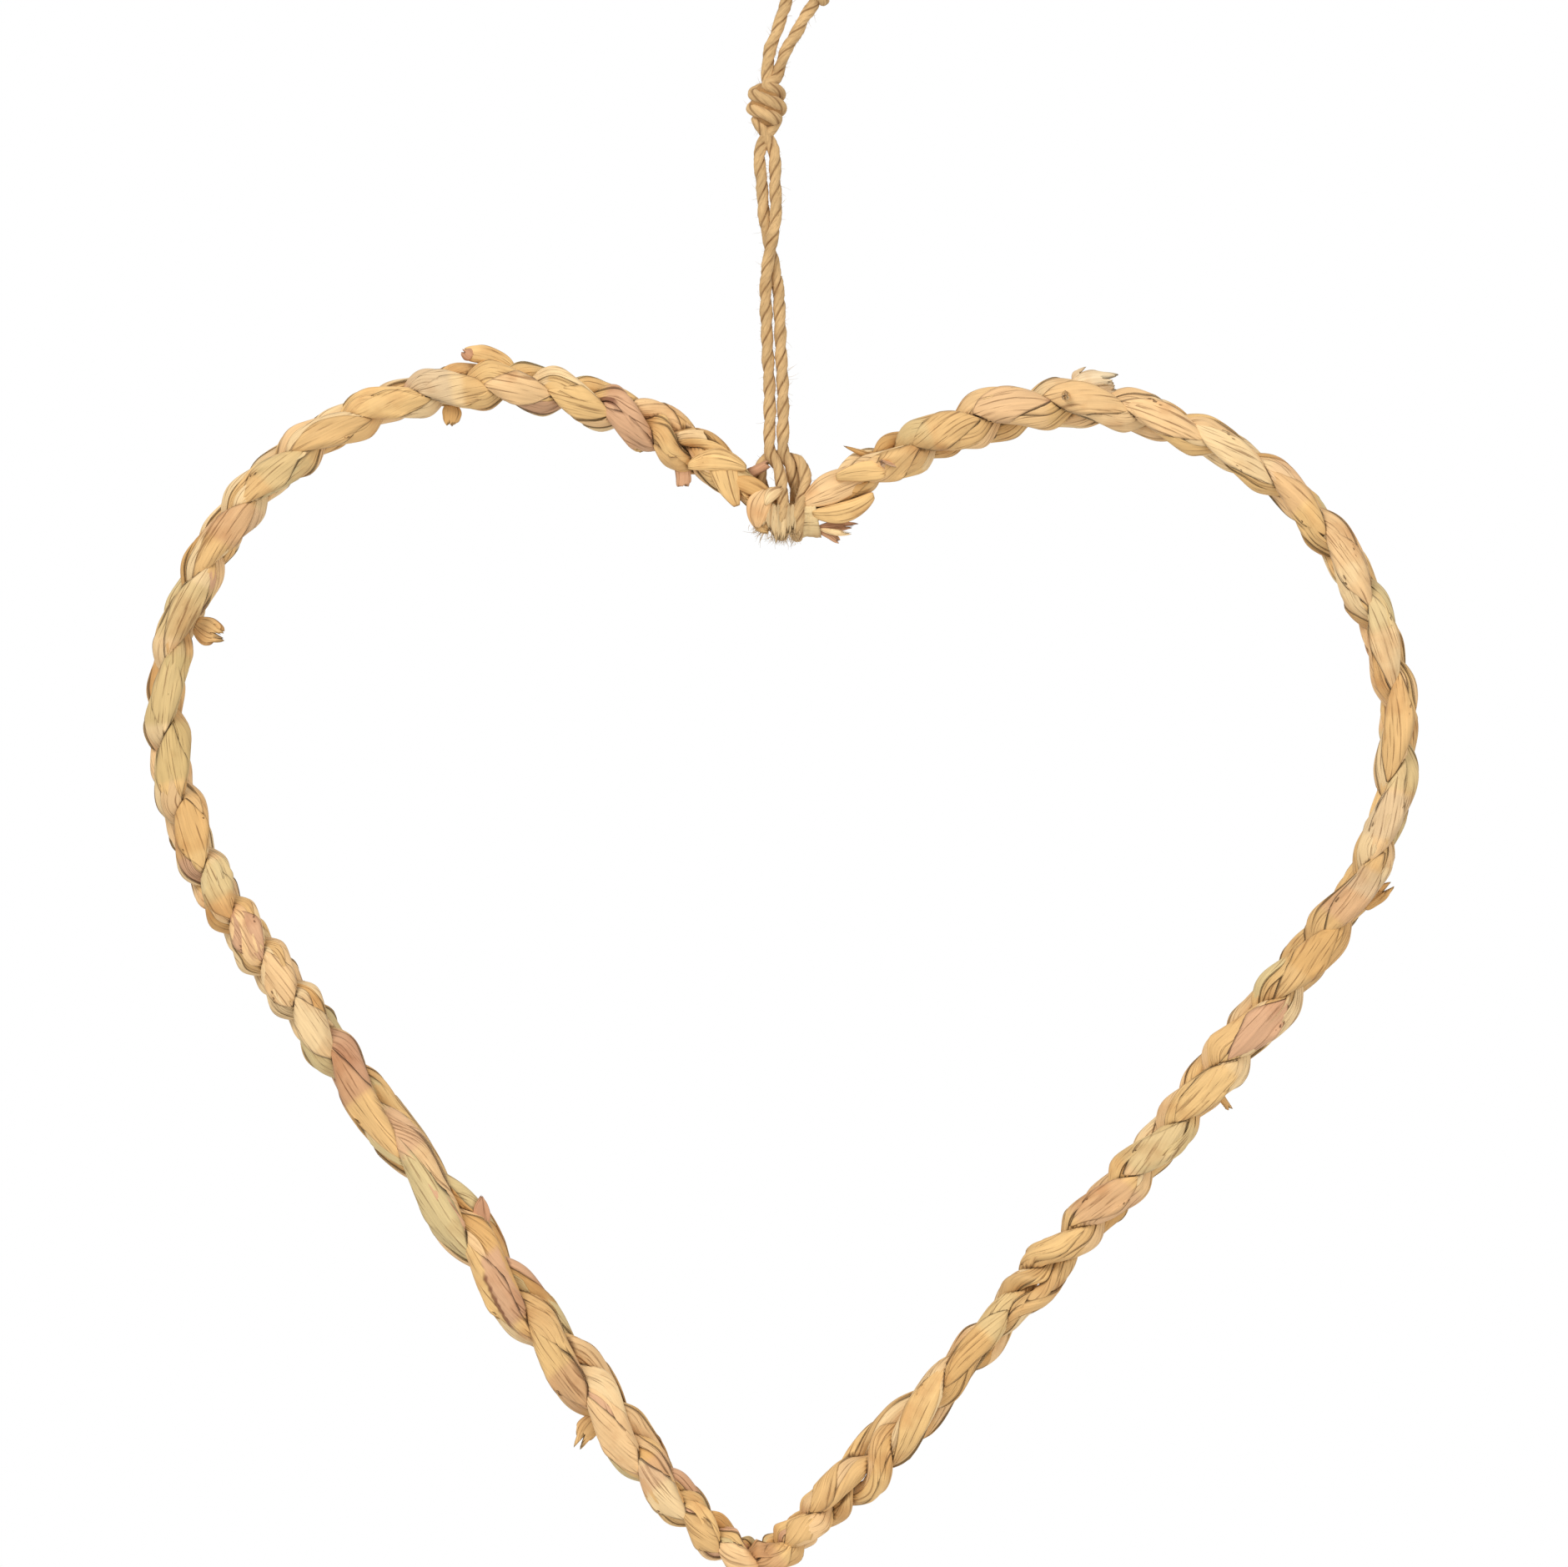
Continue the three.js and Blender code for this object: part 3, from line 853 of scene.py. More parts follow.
    def _leaves(self, strand: Strand, leaf: np.ndarray, part: np.ndarray) -> tuple:
        """The leaves that wrap a strand, and how high each lies.

        At an edge one leaf stands over the other by a signed height; across each leaf the
        lift runs straight from half the height at its start to minus half the height at its
        end. Along it, a leaf ends raggedly and another takes over, a little higher or lower.

        Returns:
            The leaf's stretch along the strand, its lift and its edge's shade.
        """
        s = strand.distance[:, None]
        heights = []
        for edge in self.edges:
            swell = Ripples(edge.seed + 300 + 7 * strand.index, 14, 50)(strand.distance)
            heights.append(edge.height * np.clip(1.5 * swell, -1, 1))
        heights = np.stack(heights + heights[:1], axis=1)
        lift = 0.5 * (heights[:, leaf] * (1 - part) - heights[:, leaf + 1] * part)
        steps = heights / self.shaded_step
        # Painted shade on the low side of each leaf step, where the higher leaf would shade it.
        low_start = np.clip(-steps[:, leaf], 0, 1) * soft_step(part, 0.09, 0)
        low_end = np.clip(steps[:, leaf + 1], 0, 1) * soft_step(part, 0.91, 1)
        stretch = np.zeros(lift.shape, dtype=int)
        rng = np.random.default_rng(60 + strand.index)
        for number in range(len(self.edges)):
            ends = np.cumsum(rng.uniform(16, 60, 60))
            own = leaf == number
            ragged = 0.9 * Ripples(int(rng.integers(1000)), 0.3, 1.6, 10)(part[own])
            stretch[:, own] = np.searchsorted(ends, s + ragged[None])
            lift[:, own] += rng.uniform(-0.10, 0.10, self.most_stretches)[stretch[:, own]]
        return stretch, lift, np.maximum(low_start, low_end)

    def _ribs(self, strand: Strand, angle: np.ndarray) -> np.ndarray:
        """Fine lengthwise ribs: sines round the section whose phases drift along it."""
        s = strand.distance[:, None]
        rng = np.random.default_rng(70 + strand.index)
        total = np.zeros(angle.shape)
        for waves in (5, 8, 11, 15, 19):
            drift = 1.2 * Ripples(int(rng.integers(1000)), 12, 50)(s)
            fade = 0.5 + 0.5 * Ripples(int(rng.integers(1000)), 12, 50)(s)
            total += fade * np.sin(waves * angle + drift + rng.uniform(0, TURN)) / waves
        return self.rib_height * total

    def _tint(self, strand: Strand, leaf: np.ndarray, stretch: np.ndarray,
              place: np.ndarray, front: np.ndarray) -> np.ndarray:
        """Colours: each stretch of leaf has its own, and the patches lie over them."""
        rng = np.random.default_rng(90 + strand.index)
        count = (len(self.edges), self.most_stretches)
        chosen = drawn_leaves(rng, count) * rng.uniform(0.90, 1.06, count + (1,))
        tint = chosen[leaf[None], stretch]
        return self._patched(strand, tint, strand.distance[:, None], place, front)

    def _patched(self, strand: Strand, tint: np.ndarray, s: np.ndarray, place: np.ndarray,
                 front: np.ndarray) -> np.ndarray:
        """The colours with this strand's patches laid over them, at the front only."""
        for patch in PATCHES:
            if self.front_strand(patch.distance, patch.across) != strand.index:
                continue
            edge = soft_step(np.abs(s - patch.distance), patch.reach, patch.reach - 1.5)
            share = edge * (front > -0.2) * patch.strength
            if patch.strip:
                low, high = patch.strip
                share = share * (place > low) * (place < high)
            tint = tint + share[..., None] * (patch.leaf.linear - tint)
        return tint

    def outer_leaves(self, strand: Strand) -> list:
        """A lens of leaf over each crossing, where the strand lies outermost.

        Along the strand the lens narrows to a point as 1 minus a power of the distance from
        its middle. Its middle runs nearly straight along the plait, while the strand under
        it sways. Each point stands on the strand's oval, found from how far it lies from
        the plait's line by turning the sine round four times, and a leaf's thickness up.
        """
        rng = np.random.default_rng(120 + strand.index)
        first = int(np.ceil(strand.phase[0] / np.pi - 0.5)) + 1
        last = int(np.floor(strand.phase[-1] / np.pi - 0.5)) - 1
        colours = drawn_leaves(rng, last - first + 1)
        skins = []
        for number, colour in zip(range(first, last + 1), colours):
            middle_phase = (number + 0.5) * np.pi
            side = 1.0 if number % 2 == 0 else -1.0
            length = self.lens_reach * rng.uniform(0.9, 1.12)
            low, middle, high = np.interp(middle_phase + length * np.array([-1, 0, 1]),
                                          strand.phase, strand.distance)
            u = np.linspace(-1, 1, self.lens_rows)
            s = middle + np.where(u < 0, middle - low, high - middle) * u
            skins.append(self._lens(strand, s[:, None], u[:, None], middle, side,
                                    colour, rng))
        return skins

    def _lens(self, strand: Strand, s: np.ndarray, u: np.ndarray, middle: float, side: float,
              colour: np.ndarray, rng: np.random.Generator) -> Skin:
        """One outer leaf: its top, and its underside just inside the strand."""
        half = self.lens_columns
        v = np.concatenate([np.linspace(-1, 1, half), np.linspace(1, -1, half)])[None]
        top = np.repeat([1.0, 0.0], half)[None]
        v = -side * v
        width, thick, roll, facing = (
            np.interp(s, strand.distance, values) for values in
            (strand.half_width, strand.half_thick, strand.roll, strand.facing))
        place = sampled(s[:, 0], strand.distance, strand.place)
        across = (-place[:, :1] * np.sin(roll) + place[:, 1:] * np.cos(roll))
        skewed = u + 0.16 * (1 - u * u) * rng.uniform(-1, 1)
        narrow = 1 - np.abs(skewed) ** rng.uniform(1.5, 2.0)
        waver = 0.05 * np.sin(6 * u + rng.uniform(0, TURN)) * v
        lens = width * self.lens_width * (narrow + waver) + 0.04
        drift = self.lens_drift * rng.uniform(0.3, 1.5) * (s - middle)
        aim = v * (lens + self.lens_edge * (1 - top)) + drift + 0.2 * rng.normal()
        turn = np.zeros(v.shape) + 0 * s
        for _ in range(4):
            radius = self._oval(turn + roll - facing, thick, width)
            turn = np.arcsin(np.clip((aim - across) / radius, -0.985, 0.985))
            turn = turn if side > 0 else np.pi - turn
        crown = self.lens_thick * (0.75 + 0.25 * (1 - v * v)) * (0.55 + 0.45 * narrow)
        ribs = 0.03 * np.sin(9 * v + rng.uniform(0, TURN)) + 0.02 * np.sin(17 * v + 3 * u)
        radius = radius + top * (crown + ribs) - (1 - top) * 0.12
        angle = turn + roll
        centre = sampled(s[:, 0], strand.distance, strand.centre)
        outward = sampled(s[:, 0], strand.distance, self.outward)
        points = round_line(centre, outward, FRONT[None], radius, angle)
        tint = colour * rng.uniform(0.94, 1.06) * np.ones(points.shape)
        streak = 1 + 0.05 * np.sin(4 * v + rng.uniform(0, TURN)) + 0.05 * u
        tint = self._patched(strand, tint * streak[..., None], s,
                             radius * np.cos(angle) / width, radius * np.sin(angle))
        # Painted shade: the lens's underside is dark, and its sides and pointed ends darker, as
        # shade under its edge.
        rim = np.maximum(1 - top, soft_step(np.abs(v), 0.97, 1.0) * 0.4)
        rim = np.maximum(rim, soft_step(np.abs(u), 0.92, 1.0) * 0.5)
        fibres = aim - 0.12 * (s - middle) * rng.uniform(-1, 1) + rng.uniform(0, 90)
        return Skin(points, tint, rim, s[:, 0], fibres)

    def station(self, distance: float) -> int:
        """The station at this distance, in the millimetres that the tables count in."""
        return int(round(distance / TABLE_LENGTH * (self.stations - 1)))

    def front_strand(self, distance: float, across: float) -> int:
        """Which strand shows at the front at this distance and this far out."""
        station = self.station(distance)
        scores = [s.forward[station] - 0.8 * abs(s.out[station] - across)
                  for s in self.strands]
        return int(np.argmax(scores))

    def build(self, finish: bpy.types.Material) -> list:
        """Makes the three strands and the leaves that lie outermost on each."""
        made = []
        for strand, node in zip(self.strands, STRAND_NODES):
            for name, skins in ((f"{node}_leaves", [self.skin(strand)]),
                                (f"{node}_outer_leaves", self.outer_leaves(strand))):
                made.append(make_piece(name, skins, finish, "straw", node))
        return made


def make_piece(name: str, skins: Sequence[Skin], finish: bpy.types.Material, slot: str,
               *nodes: str) -> bpy.types.Object:
    """Makes a piece of closed tubes and says where it belongs.

    Args:
        name: the piece's name.
        skins: its tubes.
        finish: its material.
        slot: not used.
        nodes: the frame's nodes that it replaces.

    Returns:
        The piece, which rides on the one body.
    """
    piece = skins_to_object(name, skins)
    piece.data.materials.append(finish)
    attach(piece, "root")
    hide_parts(*nodes)
    return piece


# ---------- loose ends ----------

class Side(Enum):
    """Which way a loose end leaves the plait: out from the heart, or forwards."""

    OUTER = 1
    FORWARD = 0


@dataclass(frozen=True)
class LooseEnd:
    """A cut end of leaf: a thin curled tab that leaves a strand and ends raggedly.

    reach is its length from the strand's middle, lean the share of the plait's own
    direction in its heading, cup how far it curls across and bend how far it curls along,
    both in turns; rag is how deep its end is torn.
    """

    name: str
    distance: float
    side: Side
    reach: float
    lean: float
    width: float
    leaf: Leaf
    thick: float = 0.45
    cup: float = 0.2
    bend: float = 0.1
    rag: float = 0.15
    taper: float = 0.25

    def host(self, plait: Plait) -> tuple:
        """The strand that it leaves, and the station."""
        station = plait.station(self.distance)
        scores = [(s.forward if self.side is Side.FORWARD else s.out)[station]
                  for s in plait.strands]
        return plait.strands[int(np.argmax(scores))], station

    def skin(self, plait: Plait, rows: int = 30, half: int = 12) -> Skin:
        """The tab's closed surface.

        A point u along and v across lies on an arc that bends by bend turns over the whole
        length; across, the tab is an arc of cup turns. The two faces lie half the leaf's
        thickness either side, which thins to nothing at the edges, and the end's u is
        shortened by a ragged sum of sines in v.
        """
        strand, i = self.host(plait)
        along = plait.line.heading(strand.distance[i:i + 1])[0]
        outward = np.array([along[2], 0, -along[0]])
        away = FRONT if self.side is Side.FORWARD else outward
        heading = unit(away + along * self.lean)
        face = unit(outward if self.side is Side.FORWARD else FRONT)
        face = unit(face - heading * dot(face, heading))
        wide = np.cross(heading, face)
        seed = int(self.distance * 10)
        ragged = Ripples(seed, 0.12, 0.7, 8)
        v = np.concatenate([np.linspace(-1, 1, half + 1), np.linspace(1, -1, half + 1)])
        side = np.concatenate([np.ones(half + 1), -np.ones(half + 1)])
        u = np.linspace(0, 1, rows)[:, None]
        torn = 1 - self.rag * (0.5 + 0.5 * ragged(v * 0.5))[None] * u ** 3
        run = u * torn
        turn = TURN * self.bend + 1e-6
        ahead = np.sin(turn * run) / turn * self.reach
        up = (1 - np.cos(turn * run)) / turn * self.reach
        width = 0.5 * self.width * (1 - self.taper * run ** 2) * (1 + 0.06 * ragged(run * 2))
        cup = TURN * self.cup + 1e-6
        x = np.sin(cup * v[None]) / cup * width
        dip = (np.cos(cup * v[None]) - 1) / cup * width
        ribs = 0.05 * np.sin(v[None] * 17 + seed) + 0.04 * np.sin(v[None] * 29 + 2 * run)
        skin_thick = 0.5 * self.thick * np.sqrt(np.clip(1 - v[None] ** 6, 0, 1)) + 0.02
        lift = up + dip + side[None] * skin_thick + ribs
        start = strand.centre[i] + face * 0.2
        points = (start + ahead[..., None] * heading + x[..., None] * wide
                  + lift[..., None] * face)
        colour = self.leaf.linear
        inner = Leaf.PITH.linear
        share = (0.25 + 0.35 * run ** 3)[..., None] * (side[None, :, None] < 0)
        tint = colour * (1 - share) + inner * share
        tint = tint * (1 + 0.10 * ragged(v * 3)[None, :, None])
        tip = soft_step(run, 0.9, 1.0)[..., None] * 0.35
        tint = tint * (1 - tip) + Leaf.ROSE.linear * tip
        # Painted shade: darker towards the root, where the tab leaves the strand.
        root = soft_step(run, 0.55, 0.2)
        around = np.broadcast_to(np.cumsum(np.abs(np.diff(v, prepend=-1))) * self.width / 2,
                                 run.shape).copy()
        return Skin(points, tint, root * 0.8, np.linspace(0, self.reach, rows), around + seed)

    def build(self, plait: Plait, finish: bpy.types.Material) -> bpy.types.Object:
        """Makes the tab on its strand."""
        strand, _ = self.host(plait)
        return make_piece(f"loose_end_{self.name}", [self.skin(plait)], finish, "straw",
                          STRAND_NODES[strand.index])


LOOSE_ENDS = [
    LooseEnd("left_joint_stub", 10.5, Side.OUTER, 5.0, -0.4, 3.0, Leaf.ROSE, 0.7, 0.25, 0.05),
    LooseEnd("right_low_stub", 446, Side.OUTER, 5.6, -0.3, 2.6, Leaf.TAN, 0.7, 0.3, 0.05),
    LooseEnd("right_front_shell", 606.6, Side.FORWARD, 5.2, 0.15, 3.4, Leaf.TAN, 0.5, 0.46,
             0.0, 0.1, 0.0),
    LooseEnd("right_joint_point", 641, Side.OUTER, 6.6, 0.9, 2.2, Leaf.OCHRE, 0.5, 0.25, 0.05,
             0.1, 0.9),
    LooseEnd("right_front_fold", 638, Side.FORWARD, 4.6, 0.9, 3.2, Leaf.PINK, 0.5, 0.3, 0.1,
             0.1, 0.3),
]


@dataclass(frozen=True)
class Fold:
    """A leaf folded over the plait, or cut off at its edge: a domed strip between two places.

    start and end are its ends, across and up in millimetres; before is how far its rim
    stands before the heart's own plane, dome how far its middle rises over the rim and back
    how deep it reaches; bow is how far its line bends aside; blunt is 0 for pointed ends
    and 1 for square ones; flare is how much wider it ends than it starts, and rag how deep
    its end is torn.
    """

    name: str
    start: tuple
    end: tuple
    width: float
    before: float
    leaf: Leaf
    bow: float = 0.0
    blunt: float = 0.5
    flare: float = 0.0
    rag: float = 0.0
    dome: float = 0.9
    back: float = 2.0
    strand: int = 0
    pleats: float = 0.0

    def skin(self, rows: int = 44, sides: int = 44) -> Skin:
        """The strip's closed surface.

        At angle a round it a point lies the cosine of a across and a power of the sine of a
        before or behind the rim; the width follows a power of the sine of the share of the
        length, and the line bends aside by 4u(1 - u) of the bow.
        """
        first, last = (np.array([x, 0.0, z]) for x, z in (self.start, self.end))
        length = np.linalg.norm(last - first)
        run = unit(last - first)
        side = np.cross(FRONT, run)
        seed = int(abs(self.start[0] * 37 + self.end[1] * 11))
        ragged = Ripples(seed, 0.12, 0.7, 8)
        u, a = ring_grid(rows, sides)
        v, h = np.cos(a), np.sin(a)
        torn = u * (1 - self.rag * (0.5 + 0.5 * ragged(v * 0.5)) * u ** 3)
        narrow = np.sin(np.pi * (0.02 + 0.96 * u)) ** (0.12 + 0.8 * (1 - self.blunt))
        half = 0.5 * self.width * narrow * (1 + self.flare * (u - 0.5))
        half = half * (1 + 0.035 * np.sin(5 * u + seed) + 0.02 * np.sin(11 * u + 2 * seed))
        rise = np.where(h > 0, self.dome * narrow ** 0.6, self.back) * np.abs(h) ** 0.65
        ribs = 0.05 * np.sin(8 * v + seed) + 0.03 * np.sin(19 * v + 2 * u)
        pleat = self.pleats * np.sin(TURN * 5 * u + 2 * v) * (1 - u) ** 0.5
        depth = self.before + np.sign(h) * rise + (h > 0) * h * (ribs + pleat)
        aside = self.bow * 4 * u * (1 - u) + half * v
        points = (first + (torn * length)[..., None] * run + aside[..., None] * side
                  + depth[..., None] * FRONT)
        streak = 1 + 0.05 * np.sin(4 * v + seed) + 0.05 * np.sin(3 * u + seed)
        tint = self.leaf.linear * streak[..., None]
        # Painted shade: darker at the strip's edges and ends and on its underside.
        rim = np.maximum(soft_step(np.abs(v), 0.94, 1.0) * 0.45, (h < -0.05) * 0.2)
        rim = np.maximum(rim, soft_step(np.abs(2 * u - 1), 0.93, 1.0) * 0.4)
        around = v * self.width * 0.5 + 0.25 * u + seed
        return Skin(points, tint, rim, u[:, 0] * length, around * np.ones_like(torn))

    def build(self, finish: bpy.types.Material) -> bpy.types.Object:
        """Makes the fold."""
        return make_piece(f"fold_{self.name}", [self.skin()], finish, "straw",
                          STRAND_NODES[self.strand])


FOLDS = [
    Fold("left_flat", (-13.1, -104.6), (-10.4, -112.8), 4.3, 2.3, Leaf.GOLD, -0.3, 0.9, -1.1,
         dome=0.8),
    Fold("left_wrap", (-18.9, -105.9), (-8.7, -106.2), 4.0, 2.7, Leaf.GOLD, 1.3, 0.45, dome=1.0,
         strand=1),
    Fold("left_over", (-11.6, -108.4), (-4.4, -111.4), 3.2, 2.1, Leaf.OCHRE, 0.6, 0.5, 0.1,
         strand=1),
    Fold("left_petal", (-5.4, -110.0), (-7.0, -116.6), 4.1, 2.5, Leaf.PEACH, -0.5, 0.55, -0.3,
         strand=2),
    Fold("left_low_tail", (-7.6, -113.6), (-4.4, -117.6), 2.4, 1.6, Leaf.TAN, -0.5, 0.6, 0.2,
         0.3),
    Fold("left_pale_tip", (-5.5, -112.7), (-2.4, -109.5), 2.3, 3.0, Leaf.PALE, 0.5, 0.45, 0.3,
         0.2, strand=1),
    Fold("right_big_petal", (1.2, -112.3), (11.6, -107.6), 5.7, 2.5, Leaf.PEACH, 0.4, 0.5, 0.3,
         strand=0),
    Fold("right_front_tab", (6.8, -107.9), (15.6, -106.7), 3.3, 4.0, Leaf.GOLD, 0.35, 0.75,
         0.6, 0.1, strand=1),
    Fold("right_tube", (2.8, -114.2), (13.4, -111.0), 3.5, 2.4, Leaf.GOLD, -1.3, 0.65, -0.1,
         dome=1.3, strand=2, pleats=0.09),
    Fold("right_frayed_upper", (3.6, -116.6), (10.6, -116.2), 1.9, 1.2, Leaf.ROSE, 0.2, 0.7,
         0.5, 0.5, dome=0.3, back=0.6),
    Fold("right_frayed_lower", (3.4, -116.9), (7.8, -119.1), 1.6, 0.8, Leaf.PINK, 0.3, 0.7,
         0.3, 0.4, dome=0.3, back=0.6, strand=1),
    Fold("right_frayed_middle", (4.0, -116.8), (9.6, -117.5), 1.2, 1.6, Leaf.PALE, -0.2, 0.5,
         0.3, 0.6, dome=0.2, back=0.5, strand=2),
    Fold("left_inner_tab", (-20.3, -104.5), (-19.6, -109.6), 2.8, 0.6, Leaf.PINK, bow=0.2,
         blunt=0.95, flare=0.2, rag=0.15, dome=0.3, back=0.5),
    Fold("left_top_curl", (-49.4, -88.7), (-57.9, -86.1), 3.3, 0.2, Leaf.GOLD, bow=-0.8,
         blunt=0.85, flare=0.15, rag=0.12, dome=1.2, back=1.2, strand=1),
    Fold("left_top_cut", (-56.4, -86.9), (-58.1, -85.8), 2.3, 0.9, Leaf.ROSE, blunt=0.8,
         rag=0.4, dome=0.6, back=1.0, strand=1),
    Fold("left_under_tab", (-60.0, -95.3), (-60.3, -98.9), 3.4, 0.4, Leaf.OCHRE, bow=0.2,
         blunt=0.85, flare=-0.2, rag=0.3, dome=0.5, back=0.5, strand=2),
    Fold("left_side_splinter", (-104.5, -133.3), (-99.3, -135.6), 4.8, 0.4, Leaf.TAN,
         bow=-0.3, blunt=0.75, flare=-0.2, rag=0.75, dome=0.5, back=0.6),
    Fold("left_low_point", (-54.1, -239.1), (-54.8, -232.6), 2.9, 0.5, Leaf.ROSE, bow=0.3,
         blunt=0.25, rag=0.1, dome=0.5, back=0.5, strand=1),
    Fold("left_low_stub", (-34.7, -271.0), (-38.0, -276.1), 3.8, 0.5, Leaf.TAN, bow=-0.3,
         blunt=0.8, flare=-0.2, rag=0.5, dome=0.7, back=0.7, strand=2),
    Fold("right_side_tuft", (98.7, -182.6), (103.5, -178.5), 3.2, 0.5, Leaf.OCHRE, bow=0.3,
         blunt=0.7, rag=0.7, dome=0.5, back=0.5),
    Fold("right_top_shell", (46.8, -93.4), (55.8, -92.1), 4.2, -0.4, Leaf.GREY, bow=0.5,
         blunt=0.8, flare=0.2, rag=0.15, dome=1.6, back=1.2, strand=1),
    Fold("right_top_pith", (47.7, -91.8), (55.5, -90.6), 3.2, 1.0, Leaf.PITH, bow=0.6,
         blunt=0.85, rag=0.35, dome=0.9, back=1.5, strand=1),
    Fold("right_top_jag", (48.0, -90.9), (50.0, -89.2), 2.2, 1.2, Leaf.PITH, blunt=0.6,
         rag=0.7, dome=0.5, back=0.8, strand=1),
]


# ---------- the twine ----------

class Jute(Tone):
    """The colours of the twine's parts."""

    CORD = (219, 182, 130)
    # CORE is the cord's colour darkened, as painted shade in the middle of the knot.
    CORE = (196, 152, 98)
    HAIR = (228, 198, 150)
    END = (232, 200, 152)


# The route, in metres, as the solids have it: from behind the joint, round it and up the
# left leg, through the knot, round the loop, down through the knot and round the joint.
FIRST_HITCH = [
    (-0.0025, 0.0027, -0.1146), (-0.0025, 0.0020, -0.1170), (-0.0025, 0.0, -0.1179),
    (-0.0025, -0.0020, -0.1170), (-0.0024, -0.0028, -0.1150), (-0.0024, -0.0024, -0.1124),
    (-0.0026, -0.0015, -0.1096), (-0.0031, -0.0011, -0.1063),
]
SECOND_HITCH = [
    (-0.0012, 0.0004, -0.1056), (-0.0005, 0.0012, -0.1082), (-0.0002, 0.0023, -0.1108),
    (-0.0001, 0.0029, -0.1134), (-0.0001, 0.0027, -0.1159), (-0.0001, 0.0016, -0.1175),
    (0.0, 0.0, -0.1180), (0.0001, -0.0019, -0.1172), (0.0003, -0.0028, -0.1150),
    (0.0006, -0.0025, -0.1124), (0.0013, -0.0015, -0.1102), (0.0015, -0.0006, -0.1076),
    (0.0007, 0.0006, -0.1053), (-0.0012, 0.0020, -0.1043), (-0.0033, 0.0026, -0.1039),
    (-0.0050, 0.0016, -0.1043), (-0.0061, 0.0003, -0.1057), (-0.0063, 0.0009, -0.1074),
    (-0.0059, 0.0024, -0.1092), (-0.0053, 0.0034, -0.1114),
]
LEGS = [
    (-0.0035, -0.1031), (-0.0035, -0.0973), (-0.0036, -0.0915), (-0.0039, -0.0857),
    (-0.0041, -0.0799), (-0.00435, -0.0741), (-0.0046, -0.0683), (-0.0046, -0.0625),
    (-0.0049, -0.0567), (-0.0052, -0.0509),
]
LEG_GAP = 0.00116
LEG_CROSSING = (-0.080, -0.056)
KNOT_CENTRE = (-0.0052, 0.0, -0.0429)
LOOP = [
    (-0.0052, -0.0382), (-0.0047, -0.0336), (-0.0036, -0.0306), (-0.0027, -0.0277),
    (-0.0018, -0.0248), (-0.0015, -0.0200), (-0.0022, -0.0140), (-0.0034, -0.0085),
    (-0.0040, -0.0042), (-0.0030, -0.0006), (0.0, 0.0010), (0.0032, -0.0005),
    (0.0046, -0.0042), (0.0053, -0.0090), (0.0058, -0.0140), (0.0052, -0.0200),
    (0.0033, -0.0248), (0.0014, -0.0277), (-0.0001, -0.0306), (-0.0019, -0.0336),
    (-0.0036, -0.0382),
]


